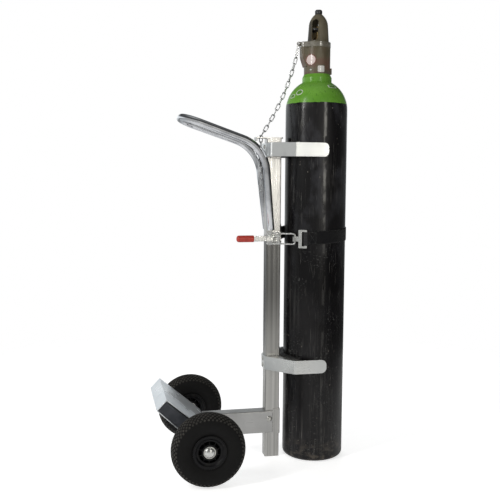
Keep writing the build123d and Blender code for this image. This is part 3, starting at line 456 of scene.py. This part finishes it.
def paper_label(name, pale, rim, centre, edge):
    """A blank, slightly soiled sticker; edge is where its border fades in, 0 to 1 from the middle."""
    m = Look(name, Coat_Weight=0.3)
    uv = m.add("ShaderNodeUVMap", uv_map="label").outputs[0]
    border = m.span(m.axis(0, uv), *edge)
    dirt = m.noise((120, 120, 120), 0.45, 0.75, 5.0)
    face = m.mix(m.times(dirt, 0.5), pale, centre)
    m.colour(m.mix(border, face, rim))
    m.set("Roughness", m.span(dirt, 0, 1, 0.28, 0.5))
    m.bump(m.noise((300, 300, 300)), 0.00005, 0.4)
    return m.material


# ---------------------------------------------------------------- mesh helpers
def mesh_object(name, verts, faces, material, body, smooth=True, uvs=None, uv_name="UVMap"):
    """A mesh piece in place, riding on a CAD body. uvs holds one pair for each vertex."""
    mesh = bpy.data.meshes.new(name)
    mesh.from_pydata([tuple(v) for v in verts], [], faces)
    mesh.validate()
    if smooth:
        mesh.polygons.foreach_set("use_smooth", [True] * len(mesh.polygons))
    if uvs is not None:
        layer = mesh.uv_layers.new(name=uv_name)
        for loop in mesh.loops:
            layer.data[loop.index].uv = uvs[loop.vertex_index]
    mesh.materials.append(material)
    mesh.update()
    obj = bpy.data.objects.new(name, mesh)
    bpy.context.scene.collection.objects.link(obj)
    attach(obj, body)
    return obj


def grid_faces(rows, columns, wrap_rows=False, wrap_columns=False):
    """Quads joining a rows x columns grid of vertices."""
    faces = []
    for i in range(rows if wrap_rows else rows - 1):
        for j in range(columns if wrap_columns else columns - 1):
            a, b = i * columns + j, i * columns + (j + 1) % columns
            c, d = ((i + 1) % rows) * columns + (j + 1) % columns, ((i + 1) % rows) * columns + j
            faces.append((a, b, c, d))
    return faces


def smooth_path(points, spacing):
    """Points at an even spacing along straight runs between the given points."""
    path = []
    for a, b in zip(points, points[1:]):
        steps = max(1, round((b - a).length / spacing))
        path += [a.lerp(b, i / steps) for i in range(steps)]
    return path + [points[-1]]


def tube_mesh(path, radius_at, sides=10, closed=False):
    """Vertices and faces of a tube along a path, its radius given by the point's index."""
    verts = []
    count = len(path)
    side = None
    for i, point in enumerate(path):
        after = path[(i + 1) % count] if closed or i + 1 < count else point
        before = path[i - 1] if closed or i else point
        along = (after - before).normalized()
        if side is None:
            side = along.orthogonal().normalized()
        side = (side - along * side.dot(along)).normalized()
        up = along.cross(side)
        for k in range(sides):
            angle = 2 * math.pi * k / sides
            verts.append(point + (side * math.cos(angle) + up * math.sin(angle)) * radius_at(i))
    faces = grid_faces(count, sides, wrap_rows=closed, wrap_columns=True)
    if not closed:
        faces.append(tuple(reversed(range(sides))))
        faces.append(tuple(range((count - 1) * sides, count * sides)))
    return verts, faces


def join(pieces):
    """Several (vertices, faces) meshes as one."""
    verts, faces = [], []
    for some_verts, some_faces in pieces:
        start = len(verts)
        verts += some_verts
        faces += [tuple(start + i for i in face) for face in some_faces]
    return verts, faces


def bead(points, radius=0.0024):
    """A weld: overlapping ripples laid along a line, tapering at both ends."""
    path = smooth_path([Vector(p) for p in points], 0.0007)
    last = len(path) - 1

    def radius_at(i):
        taper = min(1.0, 0.35 + min(i, last - i) / 5)
        ripple = 1 + 0.13 * math.cos(i * 2 * math.pi / 3.4) + rng.uniform(-0.03, 0.03)
        return radius * taper * ripple

    return tube_mesh(path, radius_at, 10)


# ---------------------------------------------------------------- tyres
def tyre_profile():
    """Half-open section of the tyre as (radius, offset from the middle plane), bead to bead."""
    bead_r, bead_half = 0.0522, 0.0290
    points = [
        (bead_r, -bead_half), (0.0560, -0.0300), (0.0610, -0.0308), (0.0640, -0.0322),
        (0.0690, -0.0352), (0.0745, -0.0383), (0.0800, -0.0404), (0.0860, -0.0417),
        (0.0920, -0.0419), (0.0980, -0.0414), (0.1040, -0.0402), (0.1090, -0.0386),
        (0.1130, -0.0368), (0.1160, -0.0350), (0.1190, -0.0322), (0.1216, -0.0290),
        (0.1238, -0.0255), (0.1254, -0.0212), (0.1274, -0.0140), (0.1288, -0.0070), (0.1296, 0.0),
    ]
    return points + [(r, -y) for r, y in reversed(points[:-1])]


def make_tyre(name, cad_node, body, material):
    """A pneumatic-style tyre with staggered diamond blocks over its crown and shoulders."""
    low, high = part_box(cad_node)
    centre = (low + high) / 2
    crown_half, tread_half, block_pitch, groove_depth = 0.047, 0.0455, 0.0160, 0.0030
    section = np.array(tyre_profile())
    step = np.hypot(*np.diff(section, axis=0).T)
    length = np.concatenate([[0], np.cumsum(step)])
    middle = length[-1] / 2
    along = np.concatenate([
        np.linspace(0, middle - crown_half, 26, endpoint=False),
        np.linspace(middle - crown_half, middle + crown_half, 88),
        np.linspace(middle + crown_half, length[-1], 27)[1:],
    ])
    radius = np.interp(along, length, section[:, 0])
    offset = np.interp(along, length, section[:, 1])
    normal_r, normal_y = np.gradient(offset, along), -np.gradient(radius, along)
    flip = -np.sign(normal_r[len(along) // 2])
    normal_r, normal_y = -normal_r * flip, -normal_y * flip
    size = np.hypot(normal_r, normal_y)
    normal_r, normal_y = normal_r / size, normal_y / size

    around, blocks = 816, 51
    angle = np.arange(around) * 2 * math.pi / around
    u = angle[:, None] * blocks / (2 * math.pi)
    v = (along - middle)[None, :] / block_pitch
    first = np.abs((u + v) % 1 - 0.5)
    second = np.abs((u - v) % 1 - 0.5)
    to_groove = 0.5 - np.maximum(first, second)
    block = np.clip((to_groove - 0.075) / 0.075, 0, 1)
    block = block * block * (3 - 2 * block)
    on_tread = np.clip((tread_half - np.abs(along - middle)) / 0.004, 0, 1)[None, :]
    depth = groove_depth * (1 - block) * on_tread
    rings = 0.0006 * np.exp(-((radius - 0.0665) / 0.0012) ** 2)
    rings = rings - 0.0007 * np.exp(-((radius - 0.1075) / 0.0009) ** 2)
    height = rings[None, :] - depth
    r = radius[None, :] + normal_r[None, :] * height
    y = offset[None, :] + normal_y[None, :] * height
    r = np.minimum(r, 0.1299)
    x = centre.x + r * np.cos(angle)[:, None]
    z = centre.z + r * np.sin(angle)[:, None]
    verts = np.stack([x, centre.y + y, z], axis=-1).reshape(-1, 3)
    columns = len(along)
    faces = grid_faces(around, columns, wrap_rows=True)
    faces += [(i * columns, ((i + 1) % around) * columns, ((i + 1) % around) * columns + columns - 1,
               i * columns + columns - 1) for i in range(around)]
    tyre = mesh_object(name, verts, faces, material, body)
    wear = tyre.data.attributes.new("wear", "FLOAT", "POINT")
    smoothed = 0.45 + on_tread * (block - 0.45)
    wear.data.foreach_set("value", smoothed.reshape(-1).astype(np.float32))
    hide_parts(cad_node)
    return tyre


def make_rim_ribs(name, cad_node, body, material):
    """Moulded ribs across the dished recess round the hub, on both faces of the wheel."""
    low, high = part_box(cad_node)
    centre = (low + high) / 2
    pieces = []
    inner, outer, half_t = 0.0262, 0.0372, 0.0013
    for face in (-1, 1):
        for k in range(10):
            angle = 2 * math.pi * (k + 0.5) / 10
            out = Vector((math.cos(angle), 0, math.sin(angle)))
            across = Vector((-math.sin(angle), 0, math.cos(angle)))
            shape = [(inner, 0.006), (outer, 0.008), (outer, 0.0262), (inner, 0.0305)]
            verts = []
            for t in (-half_t, half_t):
                verts += [centre + out * r + across * t + Vector((0, face * y, 0)) for r, y in shape]
            ring = [(i, (i + 1) % 4, 4 + (i + 1) % 4, 4 + i) for i in range(4)]
            pieces.append((verts, [(3, 2, 1, 0), (4, 5, 6, 7)] + ring))
    verts, faces = join(pieces)
    ribs = mesh_object(name, verts, faces, material, body, smooth=False)
    bevel = ribs.modifiers.new("round", "BEVEL")
    bevel.width, bevel.segments = 0.0005, 2
    return ribs


# ---------------------------------------------------------------- handle
def rounded_corner(before, corner, after, radius, steps=20):
    """The arc that rounds one corner of a path."""
    u, v = (before - corner).normalized(), (after - corner).normalized()
    half = u.angle(v) / 2
    centre = corner + (u + v).normalized() * radius / math.sin(half)
    start = corner + u * radius / math.tan(half) - centre
    end = corner + v * radius / math.tan(half) - centre
    sweep = start.angle(end)
    arc = []
    for i in range(steps + 1):
        a, b = math.sin(sweep * (1 - i / steps)), math.sin(sweep * i / steps)
        arc.append(centre + (start * a + end * b) / math.sin(sweep))
    return arc


def make_handle(material):
    """The bent chrome tube: both legs, the two knees and the grip, open at its feet."""
    radius, wall, chamfer = 0.01345, 0.0026, 0.0006
    knee_bend, grip_bend = 0.135, 0.062
    foot_y = POST_HIGH.y + radius - 0.0012
    leg = [Vector((BOTTLE.x - 0.1787, -foot_y, 0.8660)), Vector((BOTTLE.x - 0.2098, -0.0660, 1.1685)),
           Vector((BOTTLE.x - 0.5060, -0.0800, 1.2700))]
    line = leg + [Vector((p.x, -p.y, p.z)) for p in reversed(leg)]
    path = [line[0]]
    for k, bend in enumerate((knee_bend, grip_bend, grip_bend, knee_bend), 1):
        path += rounded_corner(line[k - 1], line[k], line[k + 1], bend)
    path.append(line[-1])
    deep_start, deep_end = path[0].lerp(path[1], 0.3), path[-1].lerp(path[-2], 0.3)
    inner = radius - wall
    stations = [(deep_start, inner), (path[0], inner), (path[0], radius - chamfer)]
    stations += [(path[0].lerp(path[1], 0.004), radius)] + [(p, radius) for p in path[1:-1]]
    stations += [(path[-1].lerp(path[-2], 0.004), radius), (path[-1], radius - chamfer),
                 (path[-1], inner), (deep_end, inner)]
    sides, verts, side = 40, [], None
    last = len(stations) - 1
    for i, (point, r) in enumerate(stations):
        if i < 4:
            along = (path[1] - path[0]).normalized()
        elif i > last - 4:
            along = (path[-1] - path[-2]).normalized()
        else:
            along = (stations[i + 1][0] - stations[i - 1][0]).normalized()
        side = side or along.orthogonal().normalized()
        side = (side - along * side.dot(along)).normalized()
        up = along.cross(side)
        for k in range(sides):
            angle = 2 * math.pi * k / sides
            verts.append(point + (side * math.cos(angle) + up * math.sin(angle)) * r)
    faces = grid_faces(len(stations), sides, wrap_columns=True)
    faces += [tuple(reversed(range(sides))), tuple(range(last * sides, (last + 1) * sides))]
    tube = mesh_object("bent_chrome_tube", verts, faces, material, "cart_frame")
    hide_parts("handle_tube")
    return tube


# ---------------------------------------------------------------- strap
def strap_line():
    """The webbing's centre line in plan, from the catch plate round the bottle to the anchor."""
    radius = STRAP_OUT - BOTTLE.x - 0.0015
    first, last = Vector((0.18975, -0.10391)), Vector((0.12576, 0.04035))
    near = Vector((0.21213, -0.11091))
    far = Vector((0.16158, 0.07900))
    start = math.atan2(near.y, near.x - BOTTLE.x)
    end = math.atan2(far.y, far.x - BOTTLE.x)
    line = [first.lerp(near, i / 6) for i in range(6)]
    steps = 150
    for i in range(steps + 1):
        angle = start + (end - start) * i / steps
        line.append(Vector((BOTTLE.x + radius * math.cos(angle), radius * math.sin(angle))))
    return line + [far.lerp(last, i / 12) for i in range(1, 13)]


def strap_height(t):
    """Height of the webbing's middle: it climbs from the clamp towards the far side."""
    start, front, far, end = 0.8400, 0.8535, 0.8600, 0.8510
    if t < 0.45:
        return start + (front - start) * t / 0.45
    if t < 0.85:
        return front + (far - front) * (t - 0.45) / 0.40
    ease = (t - 0.85) / 0.15
    return far + (end - far) * ease * ease * (3 - 2 * ease)


def make_strap(material, thread):
    """Webbing with rolled selvedges, then the rows of stitches that close its two end loops."""
    line = strap_line()
    lengths = [0.0]
    for a, b in zip(line, line[1:]):
        lengths.append(lengths[-1] + (b - a).length)
    total = lengths[-1]
    half_w, half_t = 0.0240, 0.0013
    section = [(-half_w, 0.0)]
    for k in range(1, 17):
        z = -half_w + 2 * half_w * k / 17
        section.append((z, half_t if abs(z) < half_w - 0.0022 else half_t * 1.12))
    section.append((half_w, 0.0))
    section += [(z, -d) for z, d in reversed(section[1:-1])]
    verts, uvs = [], []
    for i, point in enumerate(line):
        before, after = line[max(0, i - 1)], line[min(len(line) - 1, i + 1)]
        along = (after - before).normalized()
        out = Vector((along.y, -along.x))
        middle = strap_height(lengths[i] / total)
        for z, d in section:
            place = point + out * d
            verts.append(Vector((place.x, place.y, middle + z)))
            uvs.append((lengths[i], z))
    faces = grid_faces(len(line), len(section), wrap_columns=True)
    faces.append(tuple(range(len(section))))
    faces.append(tuple(reversed(range((len(line) - 1) * len(section), len(line) * len(section)))))
    strap = mesh_object("strap_webbing_band", verts, faces, material, "cart_frame",
                        uvs=uvs, uv_name="length_and_width")
    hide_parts("strap")

    stitches = []

    def at(distance, z, lift):
        i = max(k for k in range(len(lengths)) if lengths[k] <= distance)
        i = min(i, len(line) - 2)
        part = (distance - lengths[i]) / (lengths[i + 1] - lengths[i])
        point = line[i].lerp(line[i + 1], part)
        along = (line[i + 1] - line[i]).normalized()
        out = Vector((along.y, -along.x)) * lift
        return Vector((point.x + out.x, point.y + out.y, strap_height(distance / total) + z))

    def sew(start, end, z_start, z_end):
        count = max(2, round(math.hypot(end - start, z_end - z_start) / 0.0030))
        for k in range(count):
            ends = []
            for f in (k + 0.16, k + 0.84):
                f /= count
                ends.append((start + (end - start) * f, z_start + (z_end - z_start) * f))
            (d0, z0), (d1, z1) = ends
            path = [at(d0, z0, 0.0011), at((d0 + d1) / 2, (z0 + z1) / 2, 0.0019), at(d1, z1, 0.0011)]
            stitches.append(tube_mesh(path, lambda i: 0.00035, 6))

    edge = 0.0205
    for start, end in ((0.004, 0.030), (total - 0.026, total - 0.003)):
        for z in (-edge, edge):
            sew(start, end, z, z)
        for distance in (start, end):
            sew(distance, distance, -edge, edge)
        sew(start, end, -edge, edge)
        sew(start, end, edge, -edge)
    verts, faces = join(stitches)
    mesh_object("strap_stitches", verts, faces, thread, "cart_frame")


# ---------------------------------------------------------------- labels and seams
def wrapped_patch(name, outline_at, surface_at, material, rings=9):
    """A thin sticker that follows a curved surface; outline_at gives its edge, surface_at its place."""
    sides, half_t = 56, 0.00025
    verts, uvs = [], []
    for lift in (half_t, -half_t):
        verts.append(surface_at(0.0, 0.0, lift))
        uvs.append((0.0, 0.0))
        for i in range(1, rings + 1):
            for k in range(sides):
                a, b = outline_at(2 * math.pi * k / sides)
                a, b = a * i / rings, b * i / rings
                verts.append(surface_at(a, b, lift))
                uvs.append((i / rings, k / sides))
    faces = []
    layer = 1 + rings * sides
    for start, turn in ((0, 1), (layer, -1)):
        for k in range(sides):
            j = (k + 1) % sides
            faces.append((start, start + 1 + k, start + 1 + j)[::turn])
            for i in range(rings - 1):
                a = start + 1 + i * sides
                faces.append((a + k, a + sides + k, a + sides + j, a + j)[::turn])
    outer = 1 + (rings - 1) * sides
    for k in range(sides):
        j = (k + 1) % sides
        faces.append((outer + k, layer + outer + k, layer + outer + j, outer + j))
    return mesh_object(name, verts, faces, material, "cart_frame", uvs=uvs, uv_name="label")


def rounded_outline(half_w, half_h, corner=0.25):
    """A sticker's edge by angle: an ellipse at corner 0.5, squarer as it gets smaller."""
    def outline(angle):
        c, s = math.cos(angle), math.sin(angle)
        power = 1 / corner
        scale = (abs(c) ** power + abs(s) ** power) ** (-1 / power)
        return (half_w * c * scale, half_h * s * scale)
    return outline


def on_cylinder(axis_x, radius, angle, height):
    """Places a sticker's (across, up) on a vertical cylinder."""
    def surface(a, b, lift):
        turn = angle + a / radius
        return Vector((axis_x + (radius + lift) * math.cos(turn), (radius + lift) * math.sin(turn),
                       height + b))
    return surface


def on_cup_and_snout(axis_x, radius, half_width, angle, height):
    """As on_cylinder, but past the snout's root the sticker carries on along the snout's flat side."""
    root = -math.pi + math.asin(half_width / radius)

    def surface(a, b, lift):
        turn = angle + a / radius
        if turn >= root:
            return on_cylinder(axis_x, radius, angle, height)(a, b, lift)
        start_x = axis_x + radius * math.cos(root)
        return Vector((start_x - (root - turn) * radius, -half_width - lift, height + b))
    return surface


def on_shoulder(angle, slope, spin):
    """Places a sticker's (across, up) on the bottle's hemispherical shoulder."""
    def surface(a, b, lift):
        a, b = a * math.cos(spin) - b * math.sin(spin), a * math.sin(spin) + b * math.cos(spin)
        turn = angle + a / (BOTTLE_R * math.cos(slope))
        rise = slope + b / BOTTLE_R
        r = (BOTTLE_R + lift) * math.cos(rise)
        return Vector((BOTTLE.x + r * math.cos(turn), r * math.sin(turn),
                       SHOULDER_Z + (BOTTLE_R + lift) * math.sin(rise)))
    return surface


def make_labels():
    cup_x = COLLAR_LOW.x + CUP_R
    blank = paper_label("round_label", (0.84, 0.70, 0.68), (0.26, 0.09, 0.07), (0.66, 0.50, 0.47),
                        (0.86, 0.90))
    plain = paper_label("square_label", (0.82, 0.80, 0.77), (0.55, 0.50, 0.46), (0.66, 0.62, 0.58),
                        (0.90, 0.99))
    outlined = paper_label("shoulder_label", (0.12, 0.33, 0.035), (0.66, 0.74, 0.60),
                           (0.09, 0.26, 0.03), (0.66, 0.76))
    wrapped_patch("blank_round_label", rounded_outline(0.0208, 0.0195, 0.5),
                  on_cup_and_snout(cup_x, CUP_R, SNOUT_HALF, math.radians(-135.3), 1.4875), blank,
                  rings=24)
    wrapped_patch("blank_square_label", rounded_outline(0.0130, 0.0120, 0.14),
                  on_cylinder(cup_x, CUP_R, math.radians(-88), 1.4545), plain)
    for name, angle, slope, spin, outline in (
        ("shoulder_label_a", -146, 31, 0.0, rounded_outline(0.0155, 0.0125, 0.5)),
        ("shoulder_label_b", -163, 24, 0.1, rounded_outline(0.0130, 0.0080)),
        ("shoulder_label_c", -63, 45, 0.0, rounded_outline(0.0200, 0.0080, 0.14)),
    ):
        wrapped_patch(name, outline, on_shoulder(math.radians(angle), math.radians(slope), spin),
                      outlined)


def make_guard_band(material):
    """The guard cup's thicker top edge: a rolled band that follows the cup and its snout."""
    axis_x, corner = COLLAR_LOW.x + CUP_R, 0.012
    nose = Vector((CUP_LOW.x + corner, SNOUT_HALF - corner))
    reach = Vector((axis_x, 0)) - nose
    lean = math.atan2(reach.y, reach.x) + math.acos(-(CUP_R - corner) / reach.length)
    outline = []
    for centre, radius, start, end, steps in (
        (Vector((axis_x, 0)), CUP_R, -lean, lean, 72),
        (nose, corner, lean, math.pi, 8),
        (Vector((nose.x, -nose.y)), corner, math.pi, 2 * math.pi - lean, 8),
    ):
        for k in range(steps + 1):
            angle = start + (end - start) * k / steps
            outline.append(centre + Vector((math.cos(angle), math.sin(angle))) * radius)
    top = CUP_HIGH.z
    section = [(-0.0006, -0.0192), (0.0002, -0.0190), (0.0009, -0.0182), (0.0011, -0.0165),
               (0.0011, -0.0022), (0.0009, -0.0008), (0.0002, -0.0001), (-0.0006, 0.0)]
    verts = []
    count = len(outline)
    for i, point in enumerate(outline):
        along = (outline[(i + 1) % count] - outline[i - 1]).normalized()
        out = Vector((along.y, -along.x))
        for d, z in section:
            place = point + out * d
            verts.append(Vector((place.x, place.y, top + z)))
    faces = grid_faces(count, len(section), wrap_rows=True, wrap_columns=True)
    mesh_object("guard_edge_band", verts, faces, material, "cart_frame")


def make_welds(material):
    """Fillet welds where the frame's pieces meet."""
    groups = {}
    post_side = POST_HIGH.y
    collar_low, collar_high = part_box("arm_collar")
    arm_low, arm_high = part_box("arm_tube")
    side = collar_high.y + 0.0002
    bottom, top = arm_low.z + 0.004, arm_high.z - 0.004
    groups["arm_post_welds"] = [
        bead([(collar_low.x, s * side, bottom), (collar_low.x, s * side, top)], 0.0016) for s in (-1, 1)]
    groups["arm_post_welds"] += [
        bead([(POST_LOW.x + 0.003, s * post_side, arm_high.z + 0.0004),
              (collar_low.x - 0.002, s * post_side, arm_high.z + 0.0004)], 0.0020) for s in (-1, 1)]
    groups["arm_post_welds"].append(
        bead([(POST_LOW.x, -0.018, arm_high.z), (POST_LOW.x, 0.018, arm_high.z)], 0.0024))
    gusset_low, gusset_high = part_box("handle_gussets")
    middle = (gusset_low.x + gusset_high.x) / 2
    bottom, top = gusset_low.z + 0.003, gusset_high.z - 0.003
    groups["handle_welds"] = [
        bead([(middle + dx, s * post_side, bottom), (middle + dx, s * post_side, top)], 0.0018)
        for s in (-1, 1) for dx in (-0.0022, 0.0022)]
    bracket_low, bracket_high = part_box("lower_bracket")
    back, front = POST_HIGH.x - 0.046, POST_HIGH.x - 0.004
    groups["bracket_welds"] = [
        bead([(back, s * (post_side + 0.0005), z), (front, s * (post_side + 0.0005), z)], 0.0020)
        for z in (bracket_high.z, bracket_low.z) for s in (-1, 1)]
    for name, beads in groups.items():
        verts, faces = join(beads)
        mesh_object(name, verts, faces, material, "cart_frame")


# ---------------------------------------------------------------- camera, light and floor
def make_camera():
    """The photograph's viewpoint: left of the trolley, a little behind it and above its middle."""
    yaw, pitch, roll = math.radians(11.73), math.radians(5.51), math.radians(0.341)
    forward = Vector((math.sin(yaw) * math.cos(pitch), math.cos(yaw) * math.cos(pitch), -math.sin(pitch)))
    right = Vector((math.cos(yaw), -math.sin(yaw), 0))
    up = right.cross(forward)
    rolled_right = right * math.cos(roll) + up * math.sin(roll)
    rolled_up = up * math.cos(roll) - right * math.sin(roll)
    data = bpy.data.cameras.new("camera")
    data.sensor_width, data.lens = 36.0, 53.72
    camera = bpy.data.objects.new("camera", data)
    bpy.context.scene.collection.objects.link(camera)
    turn = Matrix((rolled_right, rolled_up, -forward)).transposed()
    camera.matrix_world = Matrix.Translation((-0.5651, -2.7083, 1.0565)) @ turn.to_4x4()
    bpy.context.scene.camera = camera


def make_light(name, place, target, size, power, tint=(1, 1, 1)):
    data = bpy.data.lights.new(name, "AREA")
    data.shape = "RECTANGLE"
    data.size, data.size_y = size
    data.energy = power
    data.color = tint
    light = bpy.data.objects.new(name, data)
    bpy.context.scene.collection.objects.link(light)
    light.location = place
    light.rotation_mode = "QUATERNION"
    light.rotation_quaternion = (Vector(target) - Vector(place)).to_track_quat("-Z", "Y")
    return light


def make_studio(handle):
    """Soft boxes, a surround with darker bands for the metal to reflect, and a pale floor.

    The surround and the floor look white, or nearly so, to the camera alone. The two narrow front
    lights leave out the chrome handle, where they would show as hard white threads.
    """
    left_out = bpy.data.collections.new("chrome_left_out")
    left_out.objects.link(handle)
    left_out.collection_objects[0].light_linking.link_state = "EXCLUDE"
    world = bpy.data.worlds.new("studio")
    bpy.context.scene.world = world
    world.use_nodes = True
    sky = Nodes(world.node_tree, "Generated")
    half_up = sky.math("MULTIPLY_ADD", sky.axis(2), 0.5, 0.5)

    def ramp(stops, tint):
        """Brightness by height, from straight down at 0 to straight up at 1."""
        node = sky.add("ShaderNodeValToRGB")
        elements = node.color_ramp.elements
        elements[0].position, elements[1].position = stops[0][0], stops[-1][0]
        for height, _ in stops[1:-1]:
            elements.new(height)
        for element, (_, value) in zip(elements, stops):
            element.color = (value * tint[0], value * tint[1], value * tint[2], 1)
        sky.feed(node.inputs["Fac"], half_up)
        return node.outputs["Color"]

    wall = ramp(((0.0, 0.60), (0.33, 0.60), (0.39, 0.52), (0.40, 0.42), (0.427, 0.22), (0.45, 0.50),
                 (0.468, 0.60), (0.477, 0.86), (0.60, 0.86), (0.66, 0.30), (0.74, 0.07), (0.90, 0.10),
                 (1.0, 0.45)), (1.0, 0.98, 0.92))
    dim = ramp(((0.0, 0.60), (0.33, 0.55), (0.39, 0.45), (0.43, 0.32), (0.463, 0.34), (0.50, 0.66),
                (0.58, 0.62), (0.66, 0.25), (0.74, 0.07), (0.90, 0.10), (1.0, 0.45)), (0.99, 1.0, 0.98))
    back = ramp(((0.0, 0.60), (0.36, 0.60), (0.395, 0.20), (0.435, 0.14), (0.455, 0.85), (0.482, 1.0),
                 (0.51, 0.70), (0.53, 1.35), (0.60, 1.20), (0.64, 0.60), (0.68, 0.30), (0.76, 0.07),
                 (0.92, 0.12), (1.0, 0.45)), (0.94, 0.98, 1.0))
    facing = sky.add("ShaderNodeVectorMath", operation="DOT_PRODUCT")
    sky.feed(facing.inputs[0], sky.where)
    facing.inputs[1].default_value = (0.208, -0.978, 0.0)
    front = sky.mix(sky.span(facing.outputs["Value"], 0.94, 0.985), dim, wall)
    both = sky.mix(sky.span(sky.axis(1), -0.35, 0.45), front, back)
    both = sky.mix(sky.span(sky.axis(0), 0.26, 0.80, 0.0, 0.85), both, (0.05, 0.05, 0.05))
    around, seen = sky.add("ShaderNodeBackground"), sky.add("ShaderNodeBackground")
    sky.feed(around.inputs["Color"], both)
    around.inputs["Strength"].default_value = 0.85
    seen.inputs["Color"].default_value = (1, 1, 1, 1)
    choose = sky.add("ShaderNodeMixShader")
    sky.feed(choose.inputs[0], sky.add("ShaderNodeLightPath").outputs["Is Camera Ray"])
    sky.feed(choose.inputs[1], around.outputs[0])
    sky.feed(choose.inputs[2], seen.outputs[0])
    sky.feed(sky.add("ShaderNodeOutputWorld").inputs["Surface"], choose.outputs[0])
    bpy.context.scene.view_settings.view_transform = "Standard"

    key = make_light("key_box", (-2.75, -1.39, 2.6), (0.1, 0, 1.3), (0.32, 2.2), 44, (1.0, 0.99, 0.97))
    fill = make_light("fill_box", (0.93, -3.13, 1.9), (0.1, 0, 1.1), (0.12, 2.2), 14, (1.0, 0.97, 0.90))
    for light in (key, fill):
        light.light_linking.receiver_collection = left_out
    soft = make_light("back_box", (0.6, 2.8, 2.6), (0.0, 0, 0.9), (2.2, 1.6), 30)
    soft.visible_glossy = False

    m = Look("studio_floor", rough=0.9)
    m.colour(m.mix(m.noise((3, 3, 3), 0.2, 0.8, 2.0), (0.90, 0.90, 0.90), (0.93, 0.93, 0.93)))
    m.set("Emission Color", (1.0, 1.0, 1.0, 1.0))
    seen_straight = m.add("ShaderNodeLightPath").outputs["Is Camera Ray"]
    m.set("Emission Strength", m.span(seen_straight, 0.0, 1.0, 0.30, 0.70))
    distance = m.add("ShaderNodeVectorMath", operation="LENGTH")
    m.feed(distance.inputs[0], m.where)
    blend = m.add("ShaderNodeMixShader")
    m.feed(blend.inputs[0], m.span(distance.outputs["Value"], 0.9, 2.4))
    m.feed(blend.inputs[1], m.shader.outputs[0])
    m.feed(blend.inputs[2], m.add("ShaderNodeBsdfTransparent").outputs[0])
    m.feed(m.out, blend.outputs[0])
    mesh = bpy.data.meshes.new("floor")
    reach = 3.0
    mesh.from_pydata([(-reach, -reach, 0), (reach, -reach, 0), (reach, reach, 0), (-reach, reach, 0)],
                     [], [(0, 1, 2, 3)])
    mesh.materials.append(m.material)
    floor = bpy.data.objects.new("floor", mesh)
    floor.location.z = -0.0005
    bpy.context.scene.collection.objects.link(floor)


# ---------------------------------------------------------------- put it together
def dress_cad(looks):
    """Gives every CAD node its own finish, or else that of its slot in the record."""
    for entry in frame["record"]["subparts"]:
        obj = nodes[entry["node"]]
        look = (looks.get(entry["node"]) or looks[entry["material_slot"]]).material
        obj.data.materials.clear()
        obj.data.materials.append(look)


def main():
    looks = make_looks()
    dress_cad(looks)
    tread = looks["rubber_tyre"].material
    for side in ("near", "far"):
        make_tyre(f"{side}_treaded_tyre", f"{side}_tyre", f"{side}_wheel", tread)
        make_rim_ribs(f"{side}_rim_ribs", f"{side}_rim", f"{side}_wheel", looks["wheel_hub"].material)
    handle = make_handle(looks["chrome_tube"].material)
    thread = Look("stitch_thread", rough=0.7, Sheen_Weight=0.3)
    thread.colour(thread.mix(thread.noise((900, 900, 900)), (0.03, 0.03, 0.032), (0.07, 0.07, 0.07)))
    make_strap(woven_webbing().material, thread.material)
    make_labels()
    make_guard_band(looks["guard_edge_band"].material)
    make_welds(weld_metal().material)
    make_camera()
    make_studio(handle)


main()
